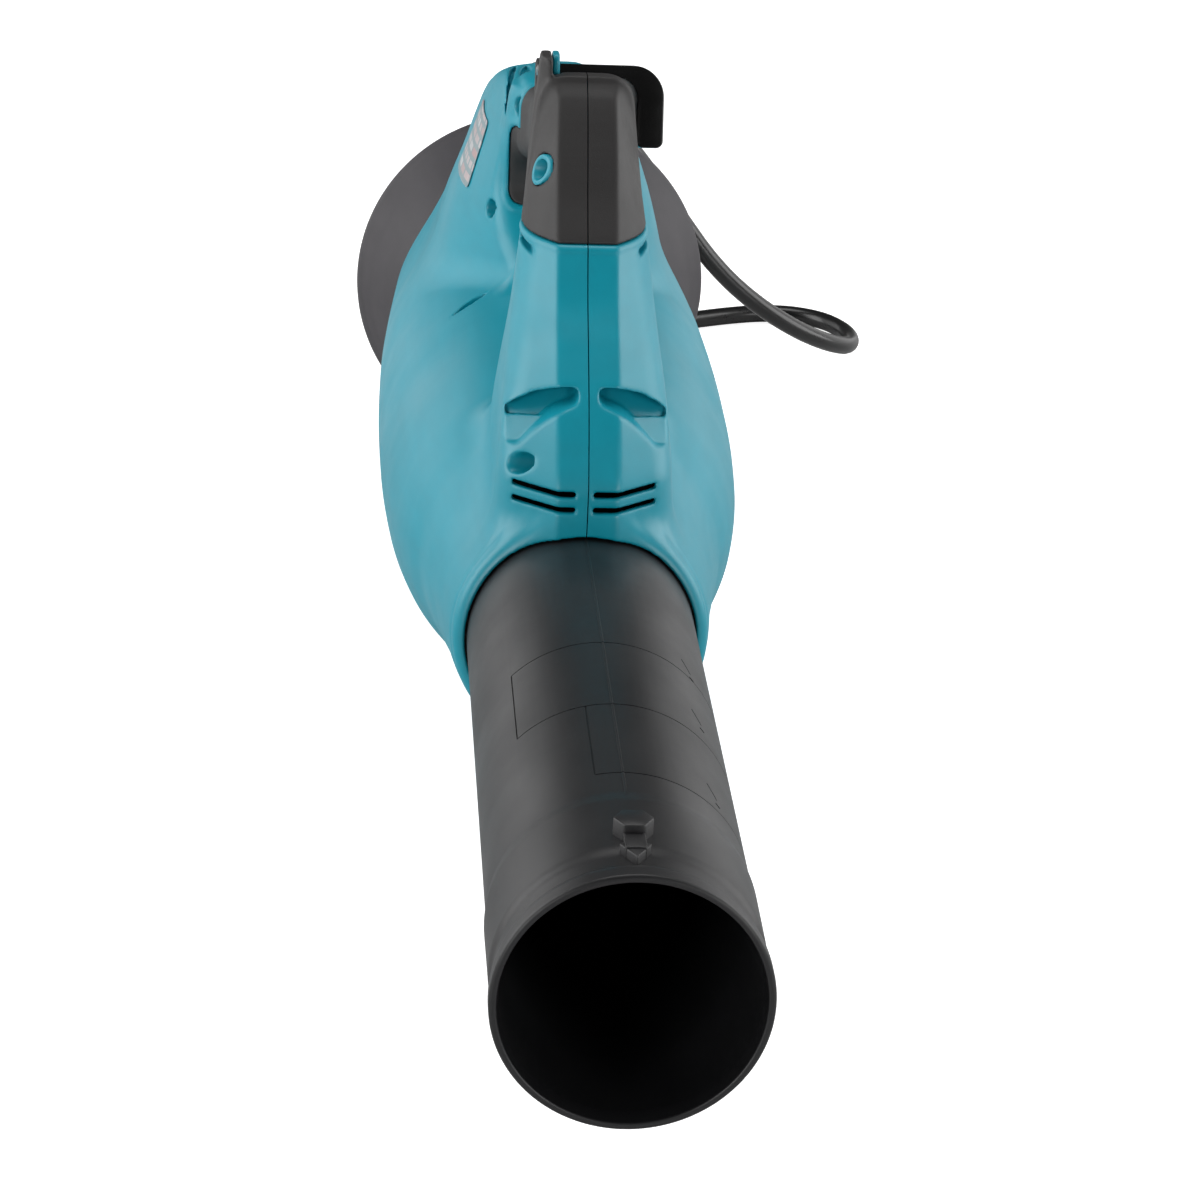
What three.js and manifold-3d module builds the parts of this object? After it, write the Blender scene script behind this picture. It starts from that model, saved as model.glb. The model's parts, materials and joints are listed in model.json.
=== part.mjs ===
// Hand-held axial leaf blower, millimetres, +Z up.
// The nozzle points along -Y and the air inlet faces +Y. X is across the machine.
// Y inside the machine group is the station, counted from the nozzle tip; Z = 0 is the duct axis.
import * as THREE from "three";
import { mergeVertices } from "three/addons/utils/BufferGeometryUtils.js";
import Module from "manifold-3d";

const wasm = await Module();
wasm.setup();

// ---------------------------------------------------------------- driving dimensions
const LENGTH = 774; // nozzle tip to the rear edge of the inlet flare
const AXIS_HEIGHT = 87; // duct axis above the ground
const GAP = 0.3; // clearance between touching pieces
const WALL = 3; // moulded casing wall
const SEGMENTS = 28; // facets round the main lathe shapes

const MOUTH = 299; // station of the housing mouth
const TUBE_RADIUS = 45.7;
const TUBE_BORE = 43.4;
const TUBE_END = 372; // rear end of the nozzle tube when it is fully out
const SOCKET_BORE = 46.1;
const SOCKET_WALL = 2.6;
const SOCKET_END = 500;

const HOUSING_END = 722; // rear edge of the two casing halves
const FLARE_START = 711;
const FLARE_RADIUS = 89.8;
const FLARE_THROAT = 65.2;
const FLARE_END = LENGTH;
const DUCT_RADIUS = 64; // bore of the fan duct
const DUCT_WALL = 2.4;
const DUCT_END = 710;

const HUB_RADIUS = 33;
const MOTOR_START = 556;
const MOTOR_END = 640;
const SHAFT_RADIUS = 4;
const VANES = 7;
const BLADES = 11;
const IMPELLER_START = 646;
const IMPELLER_END = 682;
const IMPELLER_RADIUS = 62.4;
const BLADE_END = 60.4; // middle of a blade tip, whose corners reach IMPELLER_RADIUS

const SKIN = 2; // soft overmould on the handle
const GRIP_HALF_WIDTH = 18;
const FRONT_BAND = 12; // half-width of the flat band down the front of the handle
const OVERMOULD_LOW = 147;
const OVERMOULD_REAR = 528;

const CORD_RADIUS = 5;

// ---------------------------------------------------------------- colours
const finish = (color, roughness, metalness = 0) =>
  new THREE.MeshStandardMaterial({ color, roughness, metalness });
const TEAL = finish(0x008ca0, 0.38);
const SOFT_BLACK = finish(0x2a2828, 0.7);
const TUBE_BLACK = finish(0x2c2c2e, 0.5);
const FLARE_GREY = finish(0x3a383b, 0.75);
const GLOSS_BLACK = finish(0x101010, 0.25);
const INNER_BLACK = finish(0x1c1c1e, 0.6);
const STEEL = finish(0xb8bbc0, 0.3, 1);
const DARK_STEEL = finish(0x4a4c50, 0.4, 1);
const COPPER = finish(0xb0673a, 0.4, 1);
const ALUMINIUM = finish(0xc4c6c9, 0.35, 1);
const BOARD_GREEN = finish(0x1f5a3a, 0.5);
const LABEL = finish(0xb9bcbd, 0.45);
const RUBBER = finish(0x171717, 0.8);

// ---------------------------------------------------------------- small maths
const vec = (x, y, z) => new THREE.Vector3(x, y, z);
const smoothstep = (a, b, t) => {
  const u = Math.min(1, Math.max(0, (t - a) / (b - a)));
  return u * u * (3 - 2 * u);
};
// Straight-line interpolation through [t, value] pairs.
function along(table, t) {
  if (t <= table[0][0]) return table[0][1];
  for (let i = 1; i < table.length; i++) {
    const [t0, v0] = table[i - 1];
    const [t1, v1] = table[i];
    if (t <= t1) return v0 + ((v1 - v0) * (t - t0)) / (t1 - t0);
  }
  return table[table.length - 1][1];
}
const range = (n) => Array.from({ length: n }, (_, i) => i);

// ---------------------------------------------------------------- solids
function solid(geometry) {
  const g = geometry.clone();
  g.deleteAttribute("normal");
  g.deleteAttribute("uv");
  const merged = mergeVertices(g, 1e-4);
  const made = new wasm.Manifold(
    new wasm.Mesh({
      numProp: 3,
      vertProperties: merged.attributes.position.array,
      triVerts: new Uint32Array(merged.index.array),
    }),
  );
  if (made.volume() < 0) throw new Error("a profile runs the wrong way round");
  return made;
}
const unite = (...parts) => parts.reduce((a, b) => a.add(b));
const cut = (body, ...tools) => tools.reduce((a, b) => a.subtract(b), body);

// A turned solid about the duct axis. The profile is a closed list of [radius, station].
function turned(profile, segments = SEGMENTS) {
  const points = profile.map(([r, y]) => new THREE.Vector2(r, y));
  const first = profile[0];
  const last = profile[profile.length - 1];
  if (first[0] > 0 || last[0] > 0) points.push(points[0].clone());
  const g = new THREE.LatheGeometry(points, segments);
  try {
    return solid(g);
  } catch {
    points.reverse();
    return solid(new THREE.LatheGeometry(points, segments));
  }
}
const ring = (inner, outer, y0, y1, segments = SEGMENTS) =>
  turned([[inner, y0], [outer, y0], [outer, y1], [inner, y1]], segments);
const disc = (r, y0, y1, segments = SEGMENTS) =>
  turned([[0, y0], [r, y0], [r, y1], [0, y1]], segments);

function box(x0, x1, y0, y1, z0, z1) {
  const g = new THREE.BoxGeometry(x1 - x0, y1 - y0, z1 - z0);
  g.translate((x0 + x1) / 2, (y0 + y1) / 2, (z0 + z1) / 2);
  return solid(g);
}
// A round bar between two points.
function bar(from, to, radius, segments = 16, radiusTo = radius) {
  const a = vec(...from);
  const b = vec(...to);
  const axis = b.clone().sub(a);
  const g = new THREE.CylinderGeometry(radiusTo, radius, axis.length(), segments);
  g.applyQuaternion(new THREE.Quaternion().setFromUnitVectors(vec(0, 1, 0), axis.normalize()));
  const mid = a.add(b).multiplyScalar(0.5);
  g.translate(mid.x, mid.y, mid.z);
  return solid(g);
}
// A slab cut from an outline of [station, height] points, between two X values.
function sideSlab(outline, x0, x1) {
  const shape = new THREE.Shape(outline.map(([y, z]) => new THREE.Vector2(y, z)));
  const g = new THREE.ExtrudeGeometry(shape, { depth: x1 - x0, bevelEnabled: false });
  g.applyMatrix4(new THREE.Matrix4().makeBasis(vec(0, 1, 0), vec(0, 0, 1), vec(1, 0, 0)));
  g.translate(x0, 0, 0);
  return solid(g);
}
// A closed skin through rings that all have the same number of points.
function loft(rings) {
  const n = rings[0].length;
  const positions = [];
  const index = [];
  for (const r of rings) for (const p of r) positions.push(p.x, p.y, p.z);
  for (let k = 0; k + 1 < rings.length; k++)
    for (let i = 0; i < n; i++) {
      const a = k * n + i;
      const b = k * n + ((i + 1) % n);
      index.push(a, b, b + n, a, b + n, a + n);
    }
  const cap = (start, flip) => {
    const centre = vec(0, 0, 0);
    for (let i = 0; i < n; i++) centre.add(vec(...positions.slice((start + i) * 3, (start + i) * 3 + 3)));
    centre.multiplyScalar(1 / n);
    const c = positions.length / 3;
    positions.push(centre.x, centre.y, centre.z);
    for (let i = 0; i < n; i++) {
      const a = start + i;
      const b = start + ((i + 1) % n);
      index.push(...(flip ? [c, b, a] : [c, a, b]));
    }
  };
  cap(0, true);
  cap((rings.length - 1) * n, false);
  const build = (order) => {
    const g = new THREE.BufferGeometry();
    g.setAttribute("position", new THREE.Float32BufferAttribute(positions, 3));
    g.setIndex(order);
    return solid(g);
  };
  try {
    return build(index);
  } catch {
    return build(index.reverse());
  }
}
function tube(points, radius, steps, sides = 8) {
  const path = new THREE.CatmullRomCurve3(points.map((p) => vec(...p)));
  const section = new THREE.Shape(
    range(sides).map((i) => {
      const a = (2 * Math.PI * i) / sides;
      return new THREE.Vector2(radius * Math.cos(a), radius * Math.sin(a));
    }),
  );
  return solid(new THREE.ExtrudeGeometry(section, { steps, extrudePath: path, bevelEnabled: false }));
}

// ---------------------------------------------------------------- the machine
const machine = new THREE.Group();
machine.name = "machine";
machine.position.set(0, -LENGTH / 2, AXIS_HEIGHT);

function place(name, body, material) {
  const m = body.getMesh();
  const g = new THREE.BufferGeometry();
  g.setAttribute("position", new THREE.Float32BufferAttribute(m.vertProperties, 3));
  g.setIndex([...m.triVerts]);
  const mesh = new THREE.Mesh(g, material);
  mesh.name = name;
  machine.add(mesh);
}

// ---------------------------------------------------------------- casing outline
// Outer radius of the barrel: mouth collar, shoulder step, belly and rear neck.
const BARREL = [
  [MOUTH, 50], [304, 51.4], [335, 55.5], [362, 60.5], [384, 62.6], [391, 66.8], [416, 72.4],
  [450, 76.6], [500, 79], [550, 79.6], [610, 78.6], [660, 75.8], [HOUSING_END, 71],
];
// Handle front line and the rear line of the front strut, as [height, station].
const STRUT_FRONT = [
  [40, 293], [63, 293], [80, 301], [97, 313], [113, 328], [128, 343], [147, 356], [162, 368],
  [180, 380], [197, 393], [203, 400],
];
const STRUT_REAR = [[40, 410], [76, 399], [95, 391], [115, 389], [135, 394], [150, 405], [175, 424], [190, 422], [203, 411]];
const STRUT_HALF_WIDTH = [[40, 37], [85, 33.5], [115, 29.5], [147, 25.5], [176, 21], [197, GRIP_HALF_WIDTH]];
// Top and underside of the grip, as [station, height].
const GRIP_TOP = [[400, 203], [415, 200.5], [440, 191.5], [470, 182], [500, 174.5], [530, 168.5], [580, 165]];
const GRIP_LOW = [[400, 150], [420, 156.5], [445, 155], [480, 146], [510, 138], [535, 131], [580, 126]];
// The tower behind the hand gap, as [height, value].
const TOWER_FRONT = [[50, 522], [82, 526], [98, 541], [118, 549], [135, 546], [150, 540], [168, 540]];
const TOWER_REAR = [[50, 742], [112, 740], [126, 716], [141, 668], [154, 624], [165, 584]];
// Height of the tower's sloping ridge, as [station, height].
const TOWER_RIDGE = [[528, 165], [584, 163], [624, 154], [668, 141], [716, 125], [740, 112]];
// Half-width of the tower at a depth below its ridge, as [depth, half-width].
const TOWER_HALF_WIDTH = [[0, 17], [3, 24], [8, 28.3], [18, 32.3], [33, 37.3], [63, 48], [90, 55], [114, 60]];
const TOWER_TOP = 165;

// A ring of points at one height: flat front band, rounded front corners, sides and rear corners.
function levelRing(z, front, rear, halfWidth, frontRadius, rearRadius) {
  const points = [];
  const corner = (cx, cy, r, from) => {
    for (const k of range(4)) {
      const a = from + (k * Math.PI) / 6;
      points.push(vec(cx + r * Math.cos(a), cy + r * Math.sin(a), z));
    }
  };
  corner(halfWidth - frontRadius, front + frontRadius, frontRadius, -Math.PI / 2);
  corner(halfWidth - rearRadius, rear - rearRadius, rearRadius, 0);
  corner(-halfWidth + rearRadius, rear - rearRadius, rearRadius, Math.PI / 2);
  corner(-halfWidth + frontRadius, front + frontRadius, frontRadius, Math.PI);
  return points;
}
// The front strut, taken in by inset on every side.
function strut(inset, top = 203) {
  const all = [40, 63, 80, 97, 113, 128, 147, 162, 180, 197, top - inset];
  const heights = inset > WALL ? all.filter((_, i) => i % 2 === 0) : all;
  return loft(
    heights.map((z) => {
      const w = along(STRUT_HALF_WIDTH, z) - inset;
      const corner = Math.max(3, along(STRUT_HALF_WIDTH, z) - FRONT_BAND - inset * 0.4);
      return levelRing(z, along(STRUT_FRONT, z) + inset, along(STRUT_REAR, z) - inset, w, corner, 8);
    }),
  );
}
function grip(inset) {
  const stations = inset > WALL ? [402, 420, 445, 480, 515, 552] : [402, 415, 428, 445, 470, 500, 530, 552];
  return loft(
    stations.map((y) => {
      const top = along(GRIP_TOP, y) - inset;
      const low = along(GRIP_LOW, y) + inset;
      const w = GRIP_HALF_WIDTH + 4 * smoothstep(500, 552, y) - inset;
      return levelRing(0, low, top, w, 10 - inset, 8 - inset).map((p) => vec(p.x, y, p.y));
    }),
  );
}
// Half-width of the tower at a height and a station: a wedge that widens rearwards under a falling ridge.
function towerHalfWidth(z, y) {
  const full = along(TOWER_HALF_WIDTH, along(TOWER_RIDGE, y) - z);
  const front = Math.min(full, 23);
  return front + (full - front) * smoothstep(528, 590, y);
}
function tower(inset) {
  const all = inset > 0 ? [50, 98, 121, 150, 162] : [50, 82, 98, 108, 121, 135, 148, 156, 161, TOWER_TOP];
  const heights = all.map((z) => Math.min(z, TOWER_TOP - inset));
  return loft(
    heights.map((z) => {
      const y0 = along(TOWER_FRONT, z) + inset;
      const y1 = along(TOWER_REAR, z) - inset;
      const half = range(8).map((k) => {
        const y = y0 + ((y1 - y0) * k) / 7;
        const rounding = k === 0 || k === 7 ? 7 : 0;
        return vec(towerHalfWidth(z, y) - inset - rounding, y, z);
      });
      return [...half, ...half.map((p) => vec(-p.x, p.y, p.z)).reverse()];
    }),
  );
}
function barrel(inset) {
  const rows = BARREL.map(([y, r]) => [r - inset, y]);
  const kept = inset ? rows.filter((_, i) => i % 2 === 0) : rows;
  return turned([[0, MOUTH], ...kept, [0, HOUSING_END]], inset ? 20 : 36);
}
// The moulded foot under the belly.
const SKID = { x: 30, y0: 404, y1: 472, low: -83.7 };
const skid = (inset) =>
  loft([
    [-30, 12], [-66, 6], [SKID.low + inset, 0],
  ].map(([z, grow]) =>
    levelRing(z, SKID.y0 - grow + inset, SKID.y1 + grow - inset, SKID.x + grow / 3 - inset, 5, 5)));

// The stepped region that the soft overmould covers.
const overmouldRegion = (shrink) =>
  sideSlab([
    [330, OVERMOULD_LOW + shrink], [402 + shrink, OVERMOULD_LOW + shrink], [402 + shrink, 124],
    [OVERMOULD_REAR - shrink, 124], [OVERMOULD_REAR - shrink, 230], [330, 230],
  ], -70, 70);
const coveredRegion = overmouldRegion(0);

// ---------------------------------------------------------------- screws through the casing
// y and z are the screw's station and height, and head is the X of the bottom of its well.
const SCREWS = [
  { name: "housing_screw_front", y: 309, z: 69, head: -17 },
  { name: "housing_screw_strut", y: 384, z: 170, head: -11 },
  { name: "housing_screw_bottom_front", y: 424, z: -71, head: -14 },
  { name: "housing_screw_bottom_rear", y: 455, z: -71, head: -14 },
  { name: "housing_screw_tower_front", y: 548, z: 104, head: -13 },
  { name: "housing_screw_tower_rear", y: 714, z: 90, head: -13 },
  { name: "housing_screw_grip_rear", y: 534, z: 156, head: -10 },
];
const HEAD_RADIUS = 3.8;
const SHANK_RADIUS = 1.9;
const WELL_RADIUS = 4.6;
const BOSS_RADIUS = 6.4;
const ROUND = 8; // facets round the small bosses and wells

// ---------------------------------------------------------------- the two casing halves
const handleOuter = unite(strut(0), grip(0), tower(0));
const handleUnderSkin = unite(strut(SKIN + GAP), grip(SKIN + GAP), tower(0));
const handleInner = unite(strut(SKIN + WALL), grip(SKIN + WALL), tower(WALL));
const overmouldSolid = cut(
  handleOuter.intersect(overmouldRegion(GAP)),
  unite(strut(SKIN), grip(SKIN)),
  tower(-GAP),
);
const teal = unite(
  barrel(0),
  skid(0),
  handleOuter.subtract(coveredRegion),
  handleUnderSkin.intersect(coveredRegion),
);
const cavity = unite(
  barrel(WALL),
  handleInner,
  disc(SOCKET_BORE + SOCKET_WALL + GAP, MOUTH + 2, MOUTH + 20),
  disc(68.2, HOUSING_END - 30, HOUSING_END + 5),
);
const bosses = SCREWS.map((s) => bar([-80, s.y, s.z], [80, s.y, s.z], BOSS_RADIUS, ROUND)).reduce((a, b) => a.add(b));
const wells = SCREWS.map((s) =>
  unite(
    bar([-90, s.y, s.z], [s.head, s.y, s.z], WELL_RADIUS, ROUND),
    bar([s.head - 1, s.y, s.z], [14, s.y, s.z], SHANK_RADIUS + GAP, ROUND),
  ),
).reduce((a, b) => a.add(b));

// Cooling slots either side of the seam, low on the strut.
const ventSlots = [-1, 1].flatMap((side) =>
  range(2).map((k) => {
    const z = 52.5 + 6.6 * k;
    const [a, b] = side < 0 ? [-28, -4] : [4, 28];
    return box(a, b, 285, 330, z, z + 3.2);
  }),
);
const TRIGGER = { half: 6.6, y: 440, z: 164.5, pin: 2 };
const triggerSlot = box(-TRIGGER.half - 1, TRIGGER.half + 1, 434, 483, 126, 164);
const LEVER = { y: 500, z: 158, radius: 8 };
const leverHole = bar([10, LEVER.y, LEVER.z], [40, LEVER.y, LEVER.z], LEVER.radius + 1, 16);
const GLAND = { y: 742, z: 103, radius: 8 };
const glandHole = bar([0, 690, GLAND.z], [0, 760, GLAND.z], GLAND.radius + GAP, 16);
const mouthBore = disc(46.6, MOUTH - 30, MOUTH + 6);
const ductSpace = unite(
  disc(SOCKET_BORE + SOCKET_WALL + GAP, MOUTH + 2, 520),
  disc(DUCT_RADIUS + DUCT_WALL + 0.6, 500, 760),
);

// Outer wall of the inlet flare, a trumpet that opens rearwards.
const FLARE_OUTER = [
  [67.7, FLARE_START], [67.7, 722], [71.5, 729], [76.5, 740], [82, 753], [87, 763], [FLARE_RADIUS, 768],
  [FLARE_RADIUS, FLARE_END - 1.2], [88.8, FLARE_END],
];
const FLARE_INNER = [
  [86.6, FLARE_END], [85.6, 769], [83.6, 763], [78.6, 751], [73.4, 739], [68.5, 728], [FLARE_THROAT, 719],
  [FLARE_THROAT, FLARE_START],
];
const flareRoom = turned([[0, FLARE_START - 2], ...FLARE_OUTER.map(([r, y]) => [r + 0.6, y]), [0, FLARE_END]]);

// The bracket that carries the hook: a tall front ear and a low rear ear.
const FRONT_EAR = { y0: 407, y1: 418, top: 211.5 };
const REAR_EAR = { y0: 462, y1: 471, top: 195 };
const ear = ({ y0, y1, top }, x0, x1) =>
  sideSlab([[y0, 176], [y1, 176], [y1, top - 2], [y1 - 2, top], [y0 + 4, top], [y0, top - 7]], x0, x1);
const EAR_OUT = -19;
const EAR_SPLIT = -14.2;
const EAR_IN = -11;
const HOOK = { x: -14, z: 202.4, y0: 419, y1: 461, barrel: 4, pin: 2, right: 33, low: 171.5, thick: 11 };
const HOOK_TILT = 15; // degrees that the hook's pin slopes down towards the rear, along the grip
// Turns a level body about the front end of the hook's pin so that it lies along the grip.
const alongGrip = (body) =>
  body.translate(0, -HOOK.y0, -HOOK.z).rotate(-HOOK_TILT, 0, 0).translate(0, HOOK.y0, HOOK.z);
const hookPinHole = alongGrip(bar([HOOK.x, 408.7, HOOK.z], [HOOK.x, 470, HOOK.z], HOOK.pin + GAP, 12));
const skinRoomForEar = ear(FRONT_EAR, EAR_SPLIT, EAR_IN + GAP);
const tealEar = cut(ear(FRONT_EAR, EAR_SPLIT + GAP, EAR_IN), handleInner);
const blackEars = cut(unite(ear(FRONT_EAR, EAR_OUT, EAR_SPLIT), ear(REAR_EAR, EAR_OUT, EAR_IN)), strut(SKIN), grip(SKIN));

const shell = cut(
  unite(teal.subtract(cavity), cut(bosses.intersect(teal), ductSpace), tealEar),
  wells,
  mouthBore,
  triggerSlot,
  leverHole,
  glandHole,
  hookPinHole,
  flareRoom,
  ...ventSlots,
);
const FAR = 300;
const rightSide = box(-FAR, -GAP / 2, 0, 1000, -FAR, FAR);
const leftSide = box(GAP / 2, FAR, 0, 1000, -FAR, FAR);
place("right_housing", shell.intersect(rightSide), TEAL);
place("left_housing", shell.intersect(leftSide), TEAL);

const skin = cut(
  unite(overmouldSolid.subtract(skinRoomForEar), blackEars),
  wells,
  triggerSlot,
  leverHole,
  hookPinHole,
);
place("right_grip_overmould", skin.intersect(rightSide), SOFT_BLACK);
place("left_grip_overmould", skin.intersect(leftSide), SOFT_BLACK);

for (const s of SCREWS) {
  const head = bar([s.head - 3.2, s.y, s.z], [s.head - GAP, s.y, s.z], HEAD_RADIUS, ROUND);
  const recess = bar([s.head - 4, s.y, s.z], [s.head - 1.4, s.y, s.z], 1.6, 6);
  place(s.name, cut(head, recess).add(bar([s.head - 1, s.y, s.z], [12, s.y, s.z], SHANK_RADIUS, ROUND - 2)), DARK_STEEL);
}

// ---------------------------------------------------------------- nozzle
const nozzleWall = turned([
  [44.3, 0], [46.3, 0], [47, 1], [47, 7], [45.2, 10.5], [45.2, 19], [46.4, 23], [46.6, 56],
  [TUBE_RADIUS, 65], [TUBE_RADIUS, TUBE_END], [TUBE_BORE, TUBE_END], [TUBE_BORE, 6],
]);
const lugOutline = new THREE.Shape(range(6).map((k) => {
  const a = (Math.PI * k) / 3;
  return new THREE.Vector2(6.7 * Math.cos(a), 48.5 + 6.7 * Math.sin(a));
}));
const arrowOutline = new THREE.Shape([
  new THREE.Vector2(-4.6, 38.5), new THREE.Vector2(0, 31.5), new THREE.Vector2(4.6, 38.5), new THREE.Vector2(2.2, 40.6),
  new THREE.Vector2(0, 37), new THREE.Vector2(-2.2, 40.6),
]);
const upright = (shape, z0, z1) => {
  const g = new THREE.ExtrudeGeometry(shape, { depth: z1 - z0, bevelEnabled: false });
  g.translate(0, 0, z0);
  return solid(g);
};
place(
  "nozzle_tube",
  unite(nozzleWall, upright(lugOutline, 44.5, 52.2), upright(arrowOutline, 44.8, 48)),
  TUBE_BLACK,
);
place("nozzle_seal_ring", ring(46.2, 48.4, MOUTH + 2.3, MOUTH + 6), RUBBER);
const socket = turned([
  [SOCKET_BORE, MOUTH + 6.3], [SOCKET_BORE + SOCKET_WALL, MOUTH + 6.3], [SOCKET_BORE + SOCKET_WALL, 379.5],
  [54, 379.5], [54, 382.5], [SOCKET_BORE + SOCKET_WALL, 382.5], [SOCKET_BORE + SOCKET_WALL, SOCKET_END],
  [SOCKET_BORE, SOCKET_END],
]);
place("nozzle_socket", socket, INNER_BLACK);

// ---------------------------------------------------------------- fan unit
const shroud = turned([
  [SOCKET_BORE, SOCKET_END + GAP], [50, 515], [57, 535], [62.5, 553], [DUCT_RADIUS, 566], [DUCT_RADIUS, DUCT_END],
  [DUCT_RADIUS + DUCT_WALL, DUCT_END], [DUCT_RADIUS + DUCT_WALL, 566], [62.5 + DUCT_WALL, 552],
  [57 + DUCT_WALL, 533], [50 + DUCT_WALL, 513], [SOCKET_BORE + SOCKET_WALL, SOCKET_END + GAP],
]);
const spinCopy = (body, k, count) => body.rotate(0, (360 * k) / count, 0);
const vane = box(-1, 1, 574, 614, HUB_RADIUS - 1, DUCT_RADIUS + 1);
const hub = unite(
  ring(HUB_RADIUS - 2, HUB_RADIUS, MOTOR_START, MOTOR_END, 24),
  ring(6, HUB_RADIUS - 1, MOTOR_START, MOTOR_START + 2, 24),
  ring(11.3, 14, MOTOR_START + 1, MOTOR_START + 9, 16),
);
place("fan_shroud", unite(shroud, hub, ...range(VANES).map((k) => spinCopy(vane, k, VANES))), INNER_BLACK);
place(
  "tail_cone",
  turned([[0, 503], [8, 507], [17, 519], [26, 537], [32.6, MOTOR_START - GAP], [0, MOTOR_START - GAP]], 24),
  INNER_BLACK,
);
place("front_isolator", ring(DUCT_RADIUS + DUCT_WALL + GAP, 74.2, 568, 574), RUBBER);
place("rear_isolator", ring(DUCT_RADIUS + DUCT_WALL + GAP, 67.8, 698, 707), RUBBER);
place("front_bearing", ring(SHAFT_RADIUS + GAP, 11, 558.4, 565, 16), STEEL);
place("rear_bearing", ring(SHAFT_RADIUS + GAP, 11, 631, 637.6, 16), STEEL);
place(
  "motor_end_plate",
  unite(ring(6, HUB_RADIUS - 2.3, 638, 640.4, 24), ring(11.3, 14, 630.6, 638.2, 16)),
  ALUMINIUM,
);
place("stator_core", ring(17.6, HUB_RADIUS - 2.6, 577, 617, 20), DARK_STEEL);
place("front_winding", ring(19, 29, 568, 576.7, 16), COPPER);
place("rear_winding", ring(19, 29, 617.3, 626, 16), COPPER);
place("motor_rotor", ring(SHAFT_RADIUS + GAP, 16.7, 578, 616, 16), DARK_STEEL);
place("motor_shaft", disc(SHAFT_RADIUS, 558.4, 667, 16), STEEL);

const blade = (() => {
  const g = new THREE.BoxGeometry(2.2, 34, BLADE_END - 30, 1, 1, 2);
  const p = g.attributes.position;
  const HUB_PITCH = 50;
  const TIP_PITCH = 30;
  for (let i = 0; i < p.count; i++) {
    const out = (p.getZ(i) + (BLADE_END - 30) / 2) / (BLADE_END - 30);
    const pitch = THREE.MathUtils.degToRad(90 - (HUB_PITCH + (TIP_PITCH - HUB_PITCH) * out));
    const x = p.getX(i);
    const y = p.getY(i);
    p.setXYZ(i, x * Math.cos(pitch) - y * Math.sin(pitch), x * Math.sin(pitch) + y * Math.cos(pitch), p.getZ(i));
  }
  g.translate(0, (IMPELLER_START + IMPELLER_END) / 2, 30 + (BLADE_END - 30) / 2);
  return solid(g);
})();
const impellerHub = turned([
  [SHAFT_RADIUS + GAP, IMPELLER_START], [HUB_RADIUS - 1, IMPELLER_START], [HUB_RADIUS - 1, IMPELLER_END],
  [HUB_RADIUS - 3.4, IMPELLER_END], [HUB_RADIUS - 3.4, IMPELLER_START + 6], [SHAFT_RADIUS + GAP, IMPELLER_START + 6],
], 24);
const impellerBlades = range(BLADES)
  .map((k) => spinCopy(blade, k, BLADES))
  .reduce((a, b) => a.add(b))
  .subtract(disc(HUB_RADIUS - 2, 600, 720, 24));
place("impeller", unite(impellerHub, impellerBlades), INNER_BLACK);
place(
  "impeller_nut",
  cut(disc(7.5, IMPELLER_START + 6.3, IMPELLER_START + 13, 6), disc(SHAFT_RADIUS + GAP, 640, 670, 16)),
  STEEL,
);
place(
  "spinner_cap",
  turned([[0, 682.4], [31.8, 682.4], [30.6, 687], [26, 694], [18, 700], [9, 703.4], [0, 704.4]], 24),
  INNER_BLACK,
);

// ---------------------------------------------------------------- inlet
const flare = turned([...FLARE_OUTER, ...FLARE_INNER]).subtract(box(-60, 60, 700, 800, -120, -AXIS_HEIGHT));
place("inlet_flare", flare, FLARE_GREY);
const guardRings = [26, 45].map((r) => ring(r - 1, r + 1, 713, 715.6, 18));
const guardSpokes = range(6).map((k) => spinCopy(box(-1.2, 1.2, 712.4, 716.2, 0, 64.6), k, 6));
place(
  "intake_guard",
  unite(ring(62.4, 64.5, FLARE_START + 0.3, 717, 24), disc(8, 712.4, 716.2, 12), ...guardRings, ...guardSpokes),
  INNER_BLACK,
);

// ---------------------------------------------------------------- handle controls
const triggerOutline = [
  [435.5, 159], [436, 167], [441, 169.5], [446, 166], [452, 156], [474, 151], [478, 147], [476, 142], [468, 138.5],
  [456, 140], [446, 143], [438, 148],
];
const pinRoom = bar([-20, TRIGGER.y, TRIGGER.z], [20, TRIGGER.y, TRIGGER.z], TRIGGER.pin + GAP, 12);
place("trigger", sideSlab(triggerOutline, -TRIGGER.half, TRIGGER.half).subtract(pinRoom), GLOSS_BLACK);
place("trigger_pin", bar([-10.2, TRIGGER.y, TRIGGER.z], [10.2, TRIGGER.y, TRIGGER.z], TRIGGER.pin, 12), STEEL);
place(
  "trigger_spring",
  bar([7, TRIGGER.y, TRIGGER.z], [9.8, TRIGGER.y, TRIGGER.z], 3.4, 12).subtract(pinRoom),
  STEEL,
);
place("switch_body", box(-8.5, 8.5, 454, 486, 161.8, 171.6), INNER_BLACK);
place(
  "speed_lever",
  unite(
    bar([13.4, LEVER.y, LEVER.z], [21, LEVER.y, LEVER.z], LEVER.radius, 18),
    sideSlab([[498, 153.5], [522, 149], [525, 152.5], [524, 158], [502, 163.5]], 20.6, 24.4),
  ),
  GLOSS_BLACK,
);

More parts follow.
